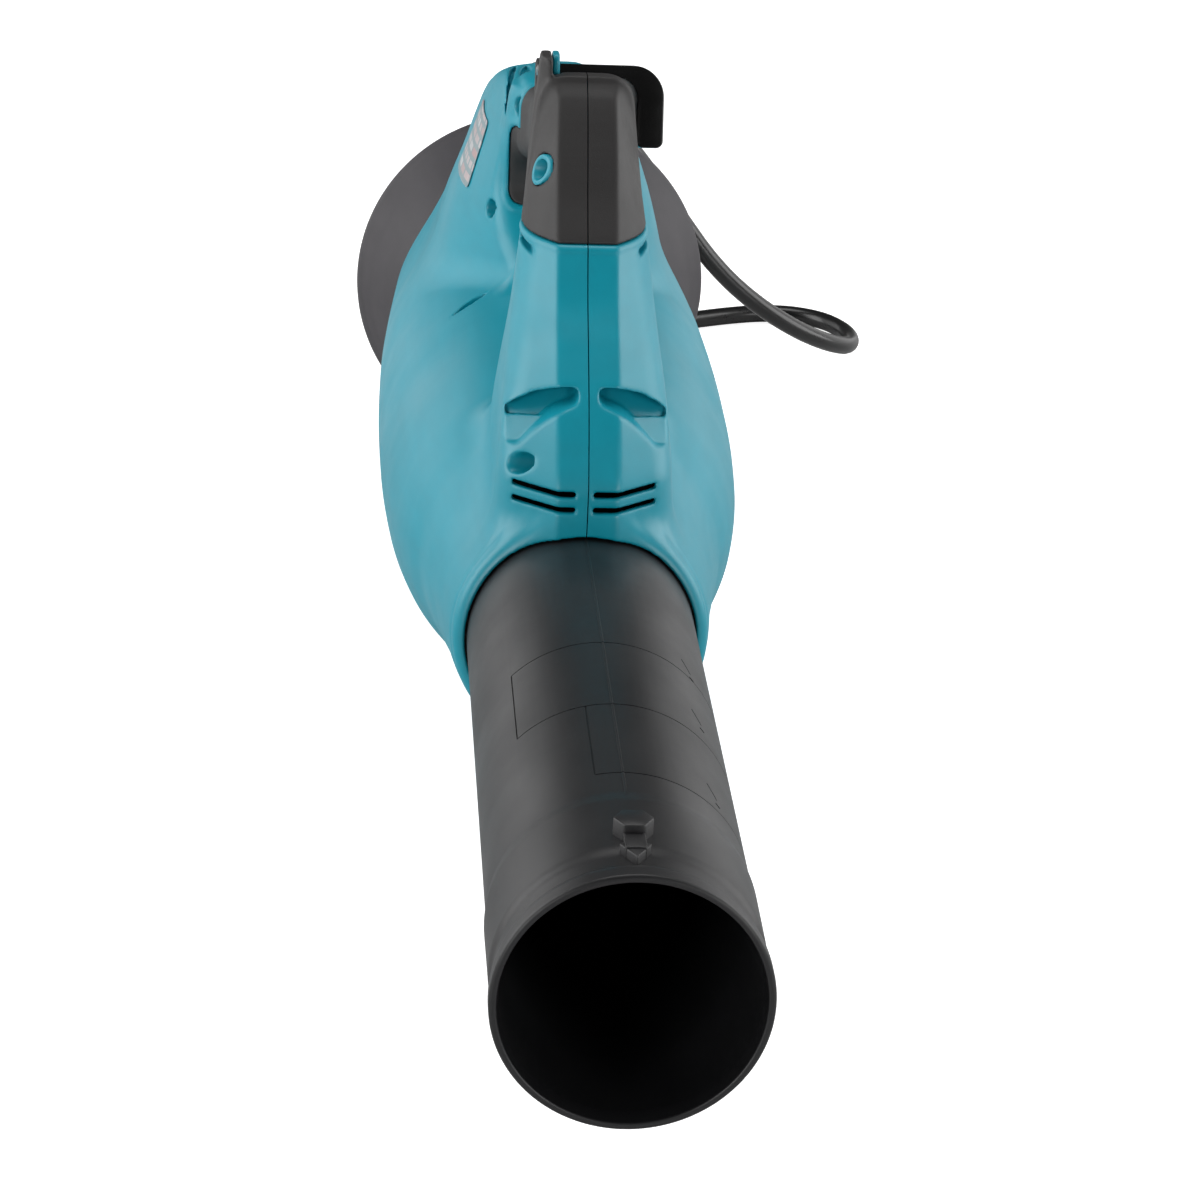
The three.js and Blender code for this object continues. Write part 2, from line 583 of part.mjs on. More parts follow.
// ---------------------------------------------------------------- hanging hook
const hookShape = new THREE.Shape();
const hookTop = HOOK.z + 2.6;
const hookUnder = HOOK.z - 2.6;
hookShape.moveTo(HOOK.x, hookUnder);
hookShape.lineTo(HOOK.right - HOOK.thick - 3, hookUnder);
hookShape.absarc(HOOK.right - HOOK.thick - 3, hookUnder - 3, 3, Math.PI / 2, 0, true);
hookShape.lineTo(HOOK.right - HOOK.thick, HOOK.low + 2);
hookShape.lineTo(HOOK.right - HOOK.thick + 1.5, HOOK.low);
hookShape.lineTo(HOOK.right - 1.5, HOOK.low);
hookShape.lineTo(HOOK.right, HOOK.low + 2);
hookShape.lineTo(HOOK.right, hookTop - 13);
hookShape.absarc(HOOK.right - 13, hookTop - 13, 13, 0, Math.PI / 2, false);
hookShape.lineTo(HOOK.x, hookTop);
hookShape.closePath();
const hookBar = new THREE.ExtrudeGeometry(hookShape, { depth: HOOK.y1 - HOOK.y0, bevelEnabled: false, curveSegments: 6 });
hookBar.rotateX(Math.PI / 2);
hookBar.translate(0, HOOK.y1, 0);
const hookBarrel = bar([HOOK.x, HOOK.y0, HOOK.z], [HOOK.x, HOOK.y1, HOOK.z], HOOK.barrel, 16);
place("hanging_hook", cut(alongGrip(unite(solid(hookBar), hookBarrel)), hookPinHole), GLOSS_BLACK);
place("hook_pin", alongGrip(bar([HOOK.x, 409, HOOK.z], [HOOK.x, 467, HOOK.z], HOOK.pin, 12)), STEEL);

// ---------------------------------------------------------------- electrics
place("controller_tray", cut(box(-24, 24, 590, 655, 92, 112), box(-22, 22, 592, 653, 94, 120)), ALUMINIUM);
place("circuit_board", box(-21.6, 21.6, 592.4, 652.6, 104, 105.6), BOARD_GREEN);
place("power_lead", bar([0, 656, 103], [0, 735, GLAND.z], 4, 10), RUBBER);
place("cord_clamp", cut(box(-9, 9, 694, 702, 97, 110), bar([0, 680, GLAND.z], [0, 720, GLAND.z], 4.3, 12)), INNER_BLACK);

// ---------------------------------------------------------------- plate, feet, baffle
// It lies on the right flank of the tower, along the flank's own slope.
const PLATE = { y: 612, z: 121, length: 44, height: 32, thick: 1 };
const plate = (() => {
  const outward = vec(-1, 0.1, 0.345).normalize();
  const place = vec(-towerHalfWidth(PLATE.z, PLATE.y), PLATE.y, PLATE.z).addScaledVector(outward, 1.2);
  const g = new THREE.BoxGeometry(PLATE.thick, PLATE.length, PLATE.height);
  g.applyQuaternion(new THREE.Quaternion().setFromUnitVectors(vec(-1, 0, 0), outward));
  g.translate(place.x, place.y, place.z);
  return solid(g);
})();
place("rating_plate", plate, LABEL);
for (const [name, x] of [["right_foot", -17], ["left_foot", 17]])
  place(name, box(x - 10, x + 10, 412, 464, -AXIS_HEIGHT, SKID.low - GAP), RUBBER);
place("vent_baffle", box(-27, 27, 336, 338, 51, 66), INNER_BLACK);

// ---------------------------------------------------------------- power cord, its gland and connector
place(
  "cord_gland",
  unite(
    bar([0, 737, GLAND.z], [0, 768, GLAND.z], GLAND.radius, 16),
    bar([0, 742.4, GLAND.z], [0, 746, GLAND.z], 11, 16),
    bar([0, 760, GLAND.z], [0, 790, GLAND.z], 7.6, 16, 6.2),
  ),
  RUBBER,
);
const FLOOR = -AXIS_HEIGHT + CORD_RADIUS + 0.2;
const COIL = { x: 4, y: 882, mean: 55, width: 20, height: 19.4 };
const CORD_ROUTE = [
  [0, 790.4, 103], [0, 801, 103], [3, 815, 101], [11, 829, 95], [22, 841, 86], [35, 850, 74], [49, 856, 58],
  [63, 859, 41], [76, 861, 23], [89, 862, 5], [102, 863, -12], [116, 865, -27], [131, 868, -40], [146, 873, -51],
  [161, 881, -61], [176, 893, -70], [188, 909, -77], [194, 928, -80.5], [193, 948, FLOOR], [184, 966, FLOOR],
  [168, 977, FLOOR], [149, 979, FLOOR], [130, 974, FLOOR], [111, 966, FLOOR], [92, 957, FLOOR], [73, 950, FLOOR],
  [58, 946.5, FLOOR], [44, 944.5, FLOOR],
];
place("cord_tube", tube(CORD_ROUTE, CORD_RADIUS, 36), RUBBER);
place(
  "cord_coil",
  ring(COIL.mean - COIL.width / 2, COIL.mean + COIL.width / 2, -COIL.height / 2, COIL.height / 2, 36)
    .rotate(90, 0, 0)
    .translate(COIL.x, COIL.y, -AXIS_HEIGHT + COIL.height / 2 + 0.2),
  RUBBER,
);
// The free end leaves the top of the coil towards the machine and runs into the connector.
const CONNECTOR = { x: COIL.x - 60, z: -AXIS_HEIGHT + 13.2, back: 830, front: 782 };
const connectorPoint = (y) => [CONNECTOR.x, y, CONNECTOR.z];
place("cord_tail", bar(connectorPoint(845), connectorPoint(CONNECTOR.back + GAP), CORD_RADIUS, 10), RUBBER);
place(
  "connector_body",
  unite(
    bar(connectorPoint(CONNECTOR.back), connectorPoint(820), 7, 16, 10),
    bar(connectorPoint(820.1), connectorPoint(791), 10.5, 16),
    bar(connectorPoint(791.1), connectorPoint(CONNECTOR.front), 9, 16),
  ),
  GLOSS_BLACK,
);
place(
  "connector_ring",
  cut(bar(connectorPoint(803), connectorPoint(788), 13, 20), bar(connectorPoint(830), connectorPoint(780), 10.9, 16)),
  SOFT_BLACK,
);

export default machine;
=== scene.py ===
"""Looks of the hand-held axial blower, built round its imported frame.

Shapes are worked out in machine millimetres (x across, station from the nozzle tip, height above
the duct axis) and are turned into the frame's metres by to_row() when their mesh is made.
"""
import json
import math

import bmesh
import bpy
import numpy as np
import openvdb
from mathutils import Matrix, Vector


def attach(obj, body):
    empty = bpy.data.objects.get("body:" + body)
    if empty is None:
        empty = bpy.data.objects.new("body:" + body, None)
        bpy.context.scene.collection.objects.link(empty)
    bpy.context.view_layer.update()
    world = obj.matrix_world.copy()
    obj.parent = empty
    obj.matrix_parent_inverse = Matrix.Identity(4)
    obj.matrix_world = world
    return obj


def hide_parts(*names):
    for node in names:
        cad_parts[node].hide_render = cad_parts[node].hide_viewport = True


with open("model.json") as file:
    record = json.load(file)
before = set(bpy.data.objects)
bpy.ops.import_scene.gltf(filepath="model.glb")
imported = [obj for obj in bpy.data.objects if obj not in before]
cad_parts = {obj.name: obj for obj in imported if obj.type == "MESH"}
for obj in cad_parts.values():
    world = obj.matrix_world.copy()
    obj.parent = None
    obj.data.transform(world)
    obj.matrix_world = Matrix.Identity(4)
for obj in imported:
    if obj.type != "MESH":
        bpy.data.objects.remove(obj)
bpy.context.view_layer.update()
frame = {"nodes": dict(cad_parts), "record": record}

# ---- driving dimensions, mm
MIDDLE = 387.0  # station that lies at Y = 0 of the frame
AXIS_HEIGHT = 87.0
LENGTH = 774.0
MOUTH = 299.0
HOUSING_END = 722.0
TUBE_RADIUS = 45.7
SEAM = 0.22  # half of the dark line between the two casing halves
WALL = 3.0
SKIN = 2.0  # soft overmould on the handle
CORD_RADIUS = 5.0
GLAND_HEIGHT = 103.0  # where the cord leaves the tower
TRIGGER_PIN = (440.0, 164.5)  # station, height
SPEED_DIAL = (500.0, 158.0)  # station, height


def to_row(points):
    """Machine millimetres to the frame's metres."""
    shifted = np.asarray(points, float).reshape(-1, 3) + (0.0, -MIDDLE, AXIS_HEIGHT)
    return shifted * 0.001


def add_object(name, data):
    obj = bpy.data.objects.new(name, data)
    bpy.context.scene.collection.objects.link(obj)
    return obj


# ---- camera
camera_data = bpy.data.cameras.new("camera")
camera_data.lens = 108
camera_data.sensor_width = 36
camera = add_object("camera", camera_data)
forward = Vector((0.07347, 0.92073, -0.38322))
turn = forward.to_track_quat("-Z", "Y").to_matrix() @ Matrix.Rotation(math.radians(2.7), 3, "Z")
camera.matrix_world = Matrix.Translation((-0.09853, -1.40958, 0.65465)) @ turn.to_4x4()
bpy.context.scene.camera = camera


# ---- materials
def linear(color):
    """sRGB values to the linear RGBA that the nodes take."""
    return (*[c / 12.92 if c <= 0.04045 else ((c + 0.055) / 1.055) ** 2.4 for c in color], 1)


def fill(node, **values):
    """Sets a node's inputs. An underscore stands for the space in an input's name."""
    for key, value in values.items():
        node.inputs[key.replace("_", " ")].default_value = value
    return node


class Shader:
    """A Principled material with a few node helpers. Patterns use object coordinates in metres."""

    def __init__(self, name, color, roughness, metallic=0.0, coat=0.0, specular=0.5):
        self.material = bpy.data.materials.new(name)
        self.material.use_nodes = True
        self.tree = self.material.node_tree
        self.bsdf = self.tree.nodes["Principled BSDF"]
        self.color = linear(color)
        fill(self.bsdf, Base_Color=self.color, Roughness=roughness, Metallic=metallic, Coat_Weight=coat,
             Coat_Roughness=0.12, Specular_IOR_Level=specular)
        self.place = self.node("ShaderNodeTexCoord").outputs["Object"]
        self.height = None

    def node(self, kind, **settings):
        made = self.tree.nodes.new(kind)
        for key, value in settings.items():
            setattr(made, key, value)
        return made

    def link(self, a, b):
        self.tree.links.new(a, b)

    def noise(self, scale, detail=2.0, stretch=(1, 1, 1), turn=(0, 0, 0)):
        mapping = fill(self.node("ShaderNodeMapping"), Scale=stretch, Rotation=turn)
        self.link(self.place, mapping.inputs["Vector"])
        made = fill(self.node("ShaderNodeTexNoise"), Scale=scale, Detail=detail)
        self.link(mapping.outputs["Vector"], made.inputs["Vector"])
        return made.outputs["Fac"]

    def ranged(self, value, low, high, start=0.3, end=0.7):
        made = fill(self.node("ShaderNodeMapRange"), From_Min=start, From_Max=end, To_Min=low, To_Max=high)
        self.link(value, made.inputs["Value"])
        return made.outputs["Result"]

    def tint(self, value, dark, light):
        """Base colour between two shades of itself."""
        before = self.bsdf.inputs["Base Color"].links
        source = before[0].from_socket if before else None
        mix = self.node("ShaderNodeMix", data_type="RGBA", blend_type="MULTIPLY")
        mix.inputs["Factor"].default_value = 1
        if source:
            self.link(source, mix.inputs["A"])
        else:
            mix.inputs["A"].default_value = self.color
        ramp = self.node("ShaderNodeValToRGB")
        for stop, position, shade in zip(ramp.color_ramp.elements, (0.3, 0.7), (dark, light)):
            stop.position = position
            stop.color = (shade, shade, shade, 1)
        self.link(value, ramp.inputs["Fac"])
        self.link(ramp.outputs["Color"], mix.inputs["B"])
        self.link(mix.outputs["Result"], self.bsdf.inputs["Base Color"])

    def rough(self, value, low, high):
        self.link(self.ranged(value, low, high), self.bsdf.inputs["Roughness"])

    def bump(self, value, depth):
        """Adds a bump of that depth in metres to what is already there."""
        made = fill(self.node("ShaderNodeBump"), Strength=1, Distance=depth)
        self.link(value, made.inputs["Height"])
        if self.height:
            self.link(self.height, made.inputs["Normal"])
        self.height = made.outputs["Normal"]
        self.link(self.height, self.bsdf.inputs["Normal"])


def moulded(name, color, roughness, grain, depth, coat=0.0, streaks=0.0, specular=0.5):
    """Moulded plastic: fine grain, slow colour drift, faint flow lines and uneven gloss."""
    s = Shader(name, color, roughness, coat=coat, specular=specular)
    s.tint(s.noise(9, 3), 0.93, 1.05)
    s.rough(s.noise(26, 4), roughness - 0.05, roughness + 0.06)
    s.bump(s.noise(grain, 3), depth)
    s.bump(s.noise(60, 2), 0.00006)
    if streaks:
        flow = s.noise(30, 5, stretch=(5, 0.5, 5), turn=(0, 0, 0.3))
        s.tint(flow, 1 - streaks, 1 + streaks)
        s.bump(s.noise(420, 2, stretch=(1, 0.06, 1)), 0.00001)
    return s.material


def brushed(name, color, roughness, scale):
    """Metal with fine turning lines."""
    s = Shader(name, color, roughness, metallic=1.0)
    s.tint(s.noise(40, 4), 0.86, 1.08)
    s.rough(s.noise(90, 4), roughness - 0.06, roughness + 0.1)
    s.bump(s.noise(scale, 2, stretch=(1, 12, 1)), 0.00002)
    return s.material


def wound_copper():
    """Enamelled wire laid side by side."""
    s = Shader("copper_wire", (0.70, 0.36, 0.16), 0.3, metallic=1.0, coat=0.4)
    wave = s.node("ShaderNodeTexWave", wave_type="RINGS", rings_direction="Y")
    fill(wave, Scale=380, Distortion=1.5)
    s.link(s.place, wave.inputs["Vector"])
    s.bump(wave.outputs["Fac"], 0.0003)
    s.tint(wave.outputs["Fac"], 0.5, 1.1)
    return s.material


def board_green():
    """Lacquered board with a faint grid of tracks."""
    s = Shader("board_lacquer", (0.07, 0.33, 0.2), 0.35, coat=0.5)
    brick = s.node("ShaderNodeTexBrick")
    fill(brick, Scale=160, Color1=(0.6, 0.6, 0.6, 1), Color2=(0.9, 0.9, 0.9, 1))
    s.link(s.place, brick.inputs["Vector"])
    s.tint(brick.outputs["Color"], 0.75, 1.2)
    return s.material


def printed_label():
    """Silver foil with rows of plain blocks in white and faded red, and no lettering."""
    s = Shader("label_print", (0.5, 0.58, 0.6), 0.4, metallic=0.15)
    blocks = s.node("ShaderNodeTexBrick", offset=0.37, squash=0.6, squash_frequency=3)
    fill(blocks, Scale=100, Mortar_Size=0.12, Brick_Width=1.3, Row_Height=0.55, Mortar=s.color,
         Color1=(0.42, 0.27, 0.27, 1), Color2=(0.5, 0.54, 0.55, 1))
    turned_place = fill(s.node("ShaderNodeMapping"), Rotation=(0, math.radians(90), math.radians(90)))
    s.link(s.place, turned_place.inputs["Vector"])
    s.link(turned_place.outputs["Vector"], blocks.inputs["Vector"])
    s.link(blocks.outputs["Color"], s.bsdf.inputs["Base Color"])
    s.rough(s.noise(60, 3), 0.28, 0.42)
    s.bump(s.noise(900, 2), 0.000008)
    return s.material


SKINS = {
    "casing_teal": moulded("teal_casing", (0.0, 0.55, 0.625), 0.38, 1500, 0.000018, streaks=0.035),
    "soft_grip": moulded("soft_black_grip", (0.16, 0.155, 0.155), 0.55, 2200, 0.00006, specular=0.45),
    "nozzle_plastic": moulded("satin_tube", (0.09, 0.09, 0.097), 0.42, 1700, 0.00003, streaks=0.07),
    "flare_plastic": moulded("matte_flare", (0.215, 0.205, 0.22), 0.58, 1300, 0.00004, streaks=0.06),
    "gloss_black": moulded("gloss_black", (0.035, 0.035, 0.037), 0.2, 700, 0.000006, coat=0.3),
    "inner_plastic": moulded("inner_plastic", (0.07, 0.07, 0.074), 0.55, 1200, 0.00004),
    "rubber": moulded("rubber", (0.055, 0.055, 0.056), 0.62, 1800, 0.00005),
    "cord_rubber": moulded("cord_rubber", (0.04, 0.04, 0.042), 0.3, 1500, 0.00002, coat=0.15),
    "bright_steel": brushed("bright_steel", (0.76, 0.77, 0.79), 0.26, 900),
    "screw_steel": brushed("screw_steel", (0.33, 0.34, 0.36), 0.36, 900),
    "aluminium": brushed("aluminium", (0.80, 0.81, 0.82), 0.34, 700),
    "copper": wound_copper(),
    "circuit_board": board_green(),
    "label": printed_label(),
}
node_slots = {part["node"]: part["material_slot"] for part in frame["record"]["subparts"]}
for node_name, cad_object in frame["nodes"].items():
    cad_object.data.materials.clear()
    cad_object.data.materials.append(SKINS[node_slots[node_name]])


# ---- making pieces
def dress(obj, slot, body="root", replaces=()):
    """The slot's material, the body the piece rides on and the CAD nodes it stands for."""
    obj.data.materials.clear()
    obj.data.materials.append(SKINS[slot])
    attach(obj, body)
    if replaces:
        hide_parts(*replaces)
    return obj


def finish_piece(obj, slot, body="root", replaces=(), crease=35):
    """Smooth shading up to the crease angle, then dress()."""
    obj.data.shade_smooth()
    obj.data.set_sharp_from_angle(angle=math.radians(crease))
    return dress(obj, slot, body, replaces)


def mesh_object(name, points, faces):
    mesh = bpy.data.meshes.new(name)
    mesh.from_pydata(to_row(points).tolist(), [], faces)
    mesh.update()
    return add_object(name, mesh)


def fix_normals(obj):
    bm = bmesh.new()
    bm.from_mesh(obj.data)
    bmesh.ops.recalc_face_normals(bm, faces=bm.faces)
    bm.to_mesh(obj.data)
    bm.free()
    return obj


def apply(obj, kind, **settings):
    """Adds a modifier and bakes it into the mesh."""
    modifier = obj.modifiers.new(kind, kind)
    for key, value in settings.items():
        setattr(modifier, key, value)
    graph = bpy.context.evaluated_depsgraph_get()
    mesh = bpy.data.meshes.new_from_object(obj.evaluated_get(graph))
    obj.modifiers.clear()
    old = obj.data
    obj.data = mesh
    bpy.data.meshes.remove(old)
    return obj


def bevelled(obj, width, segments=2, angle=30):
    return apply(obj, "BEVEL", width=width * 0.001, segments=segments, limit_method="ANGLE",
                 angle_limit=math.radians(angle))


def combine(obj, others, operation):
    """Boolean of obj with each of the others, which are used up."""
    for other in others:
        apply(obj, "BOOLEAN", object=other, operation=operation, solver="MANIFOLD")
        bpy.data.objects.remove(other)
    return obj


def turned(name, profile, segments, centre=(0.0, 0.0), start=0.0, sweep=None):
    """Revolves [radius, station] points about a line along Y through centre = (x, height)."""
    whole = sweep is None
    count = segments if whole else segments + 1
    angles = start + (2 * math.pi if whole else sweep) * np.arange(count) / segments
    points, rings = [], []
    for radius, station in profile:
        if radius < 1e-6:
            rings.append([len(points)] * count)
            points.append((centre[0], station, centre[1]))
            continue
        rings.append(list(range(len(points), len(points) + count)))
        points += [(centre[0] + radius * math.sin(a), station, centre[1] + radius * math.cos(a))
                   for a in angles]
    if profile[0][0] > 1e-6:
        rings.append(rings[0])
    faces = []
    for a, b in zip(rings, rings[1:]):
        for i in range(count if whole else count - 1):
            j = (i + 1) % count
            corners = list(dict.fromkeys([a[i], a[j], b[j], b[i]]))
            if len(corners) > 2:
                faces.append(corners)
    if not whole:
        faces.append([r[0] for r in rings[:-1]])
        faces.append([r[-1] for r in rings[:-1]][::-1])
    return fix_normals(mesh_object(name, points, faces))


def rounded(outline, radius, steps=2, closed=True):
    """An outline with each corner turned into an arc, as tight as its edges allow."""
    p = [Vector(v) for v in outline]
    made = []
    for i, corner in enumerate(p):
        if not closed and i in (0, len(p) - 1):
            made.append(tuple(corner))
            continue
        before, after = p[i - 1] - corner, p[(i + 1) % len(p)] - corner
        reach = min(radius, before.length * 0.45, after.length * 0.45)
        a, b = corner + before.normalized() * reach, corner + after.normalized() * reach
        for k in range(steps + 1):
            t = k / steps
            made.append(tuple(a * (1 - t) ** 2 + corner * 2 * t * (1 - t) + b * t * t))
    return made


def slab(name, outline, low, high, axis="X"):
    """Pushes [station, height] along X, [x, height] along Y or [x, station] along Z."""
    order = {"X": (2, 0, 1), "Y": (0, 2, 1), "Z": (0, 1, 2)}[axis]
    n = len(outline)
    points = [[(*p, along)[i] for i in order] for along in (low, high) for p in outline]
    faces = [list(range(n))[::-1], list(range(n, 2 * n))]
    faces += [[i, (i + 1) % n, n + (i + 1) % n, n + i] for i in range(n)]
    return fix_normals(mesh_object(name, points, faces))


def block(name, low, high):
    (x0, y0, z0), (x1, y1, z1) = low, high
    return slab(name, [(y0, z0), (y1, z0), (y1, z1), (y0, z1)], x0, x1)


def ring_section(inner, outer, y0, y1):
    return [(inner, y0), (outer, y0), (outer, y1), (inner, y1)]


def cylinder_x(name, station, height, radius, x0, x1, segments):
    angles = [2 * math.pi * k / segments for k in range(segments)]
    outline = [(station + radius * math.cos(a), height + radius * math.sin(a)) for a in angles]
    return slab(name, outline, x0, x1)


# ---- power cord
FLOOR = -AXIS_HEIGHT + CORD_RADIUS + 0.2
CORD_ROUTE = [
    (0, 790.4, GLAND_HEIGHT), (0, 801, GLAND_HEIGHT), (3, 815, 101), (11, 829, 95), (22, 841, 86),
    (35, 850, 74), (49, 856, 58), (63, 859, 41), (76, 861, 23), (89, 862, 5), (102, 863, -12),
    (116, 865, -27), (131, 868, -40), (146, 873, -51), (161, 881, -61), (176, 893, -70), (188, 909, -77),
    (194, 928, -80.5), (193, 948, FLOOR), (184, 966, FLOOR), (168, 977, FLOOR), (149, 979, FLOOR),
    (130, 974, FLOOR), (111, 966, FLOOR), (92, 957, FLOOR), (73, 950, FLOOR), (58, 946.5, FLOOR),
    (44, 944.5, FLOOR), (24, 942.8, FLOOR),
]
COIL_CENTRE = (4.0, 882.0)
COIL_STEP = 15  # degrees
# [angle in degrees, radius, height over the floor] that the turns pass through
COIL_STAGES = [(90, 60, 0), (360, 60, 0), (450, 50, 0), (690, 50, 0), (780, 55, 8.9), (900, 60, 10.1)]
CONNECTOR_X, CONNECTOR_Z, CONNECTOR_BACK = -56.0, -73.8, 830.0


def coil_turns():
    angles, radii, rises = np.array(COIL_STAGES, float).T
    made = []
    for angle in np.arange(angles[0], angles[-1] + 1, COIL_STEP):
        radius, rise = np.interp(angle, angles, radii), np.interp(angle, angles, rises)
        a = math.radians(angle)
        x, y = COIL_CENTRE[0] + radius * math.cos(a), COIL_CENTRE[1] + radius * math.sin(a)
        made.append((x, y, FLOOR + rise))
    return made


def spline_through(points, steps=6):
    """A smooth line through the points, sampled finely."""
    p = [Vector(v) for v in points]
    p = [p[0] * 2 - p[1], *p, p[-1] * 2 - p[-2]]
    made = []
    for a, b, c, d in zip(p, p[1:], p[2:], p[3:]):
        for k in range(steps):
            t = k / steps
            made.append(0.5 * (2 * b + (c - a) * t + (2 * a - 5 * b + 4 * c - d) * t * t
                               + (3 * b - a - 3 * c + d) * t ** 3))
    return [*made, p[-2]]


def make_cord():
    tail = [(CONNECTOR_X, y, CONNECTOR_Z + rise) for y, rise in ((868, 1.8), (854, 0.9), (842, 0.2))]
    tail.append((CONNECTOR_X, CONNECTOR_BACK + 0.3, CONNECTOR_Z))
    line = to_row([tuple(v) for v in spline_through(CORD_ROUTE + coil_turns() + tail)])
    curve = bpy.data.curves.new("power_cord", "CURVE")
    curve.dimensions = "3D"
    curve.bevel_depth = CORD_RADIUS * 0.001
    curve.bevel_resolution = 6
    curve.use_fill_caps = True
    spline = curve.splines.new("POLY")
    spline.points.add(len(line) - 1)
    for point, place in zip(spline.points, line):
        point.co = (*place, 1)
    spline.use_smooth = True
    cord = add_object("power_cord", curve)
    dress(cord, "cord_rubber", replaces=["cord_tube", "cord_coil", "cord_tail"])
    length = float(np.linalg.norm(np.diff(line, axis=0), axis=1).sum())
    return cord, tuple(line[0]), length


cord, cord_exit, cord_length = make_cord()
gland_profile = [(0, 738), (7.6, 738), (7.6, 742.6), (10.9, 742.8), (10.9, 745.8), (8, 746.2), (8, 757)]
for rib in range(6):
    y, r = 759 + 5 * rib, 8 - 0.32 * rib
    gland_profile += [(r, y), (r - 1.5, y + 0.8), (r - 1.5, y + 2.6), (r - 0.1, y + 3.4)]
gland_profile += [(5.6, 790), (0, 790)]
gland = finish_piece(
    turned("strain_relief", rounded(gland_profile, 0.5, closed=False), 48, centre=(0, GLAND_HEIGHT)),
    "rubber", replaces=["cord_gland"])
connector_centre = (CONNECTOR_X, CONNECTOR_Z)
connector_profile = [
    (0, 782), (7.4, 782), (9, 783.4), (9, 787), (10.3, 788), (10.3, 804), (9.4, 805), (9.4, 807), (10.5, 808),
    (10.5, 811), (9.6, 812), (9.6, 814), (10.5, 815), (10.5, 819), (9.8, 822), (8, 826), (6.6, 830), (0, 830),
]
connector = finish_piece(
    turned("connector", rounded(connector_profile, 0.6, closed=False), 64, centre=connector_centre),
    "gloss_black", replaces=["connector_body"])


def knurled_ring(name, inner, outer, y0, y1, flutes, centre):
    """A ring nut with grip flutes round it."""
    obj = turned(name, rounded(ring_section(inner, outer, y0, y1), 0.8), 96, centre=centre)
    centre_row = to_row([(centre[0], 0, centre[1])])[0]
    for v in obj.data.vertices:
        x, z = v.co.x - centre_row[0], v.co.z - centre_row[2]
        r = math.hypot(x, z)
        if r > (outer - 1.2) * 0.001:
            dip = 0.0007 * (0.5 - 0.5 * math.cos(flutes * math.atan2(z, x)))
            v.co.x -= x / r * dip
            v.co.z -= z / r * dip
    return obj


lock_ring = finish_piece(knurled_ring("connector_lock_ring", 10.9, 13, 788, 803, 16, connector_centre),
                         "soft_grip", replaces=["connector_ring"])

# ---- nozzle tube
NOZZLE = [
    (44.3, 0), (46.2, 0), (47, 0.9), (47, 7), (45.3, 10.4), (45.2, 18.5), (46.4, 22.5), (46.6, 57),
    (TUBE_RADIUS, 64), (TUBE_RADIUS, 371.5), (45.2, 372), (43.4, 372), (43.4, 6),
]
GROOVE = 0.55  # width of the engraved lines
ENGRAVED = 0.4  # depth of the engraved lines


def sector(name, station, width, left, right):
    """A piece of a thin ring for cutting into the tube. Angles in degrees from the top, towards +X."""
    left, right = math.radians(left), math.radians(right)
    steps = max(2, int(abs(right - left) / math.radians(2.5)))
    profile = ring_section(TUBE_RADIUS - ENGRAVED, TUBE_RADIUS + 2, station - width / 2, station + width / 2)
    return turned(name, profile, steps, start=left, sweep=right - left)


def dash(name, station, angle, length, tilt, width):
    """A short engraved stroke, turned by tilt in the tube's surface."""
    obj = block(name, (-width / 2, -length / 2, -ENGRAVED - 0.1), (width / 2, length / 2, 3))
    for move in (
        Matrix.Translation((0, MIDDLE * 0.001, -AXIS_HEIGHT * 0.001)),
        Matrix.Rotation(math.radians(tilt), 4, "Z"),
        Matrix.Translation((0, 0, TUBE_RADIUS * 0.001)),
        Matrix.Rotation(math.radians(angle), 4, "Y"),
        Matrix.Translation((0, (station - MIDDLE) * 0.001, AXIS_HEIGHT * 0.001)),
    ):
        obj.data.transform(move)
    return obj


def make_nozzle():
    tube = turned("nozzle", rounded(NOZZLE, 1.6, 4), 224)
    seam = block("seam_line", (-0.45, 58, 44.4), (0.45, 372, TUBE_RADIUS + 0.24))
    bevelled(seam, 0.2)
    hexagon = [(6.9 * math.cos(math.pi * k / 3), 32 + 6.9 * math.sin(math.pi * k / 3)) for k in range(6)]
    lug = bevelled(slab("lug", hexagon, 44, 52.2, "Z"), 0.8)
    step = slab("lug_step", [(-3.6, 16), (3.6, 16), (3.6, 28), (-3.6, 28)], 44, 49.4, "Z")
    bevelled(step, 0.5)
    arrow = [(-5.4, 20), (0, 10.5), (5.4, 20), (3.4, 20.8), (-3.4, 20.8)]
    arrow = bevelled(slab("lug_arrow", arrow, 44.6, 48.6, "Z"), 0.5)
    combine(tube, [seam, lug, step, arrow], "UNION")
    cuts = []
    for front, back, left in [(136, 191, -46.5), (79.5, 136, -12)]:
        cuts.append(sector("frame_back", back, GROOVE, left, 70))
        cuts.append(sector("frame_front", front, GROOVE, left, 70))
        half = math.degrees(GROOVE / 2 / TUBE_RADIUS)
        cuts.append(sector("frame_side", (front + back) / 2, back - front, left - half, left + half))
    for station in (93, 155, 200):
        cuts.append(dash("tick", station, 45, 9, 28, 0.6))
        cuts.append(dash("tick_head", station - 8, 47.5, 2.6, 62, 1.2))
    return combine(tube, cuts, "DIFFERENCE")


finish_piece(make_nozzle(), "nozzle_plastic", "nozzle", ["nozzle_tube"], crease=28)

# ---- inlet flare and guard
FLARE = [
    (67.7, 711), (67.7, 722), (71.5, 729), (76.5, 740), (82, 753), (86.6, 762.4), (89.7, 767.6),
    (89.8, 772.6), (88.9, LENGTH), (86.7, LENGTH), (85.6, 769), (83.6, 763), (78.6, 751), (73.4, 739),
    (68.5, 728), (65.2, 719), (65.2, 711),
]


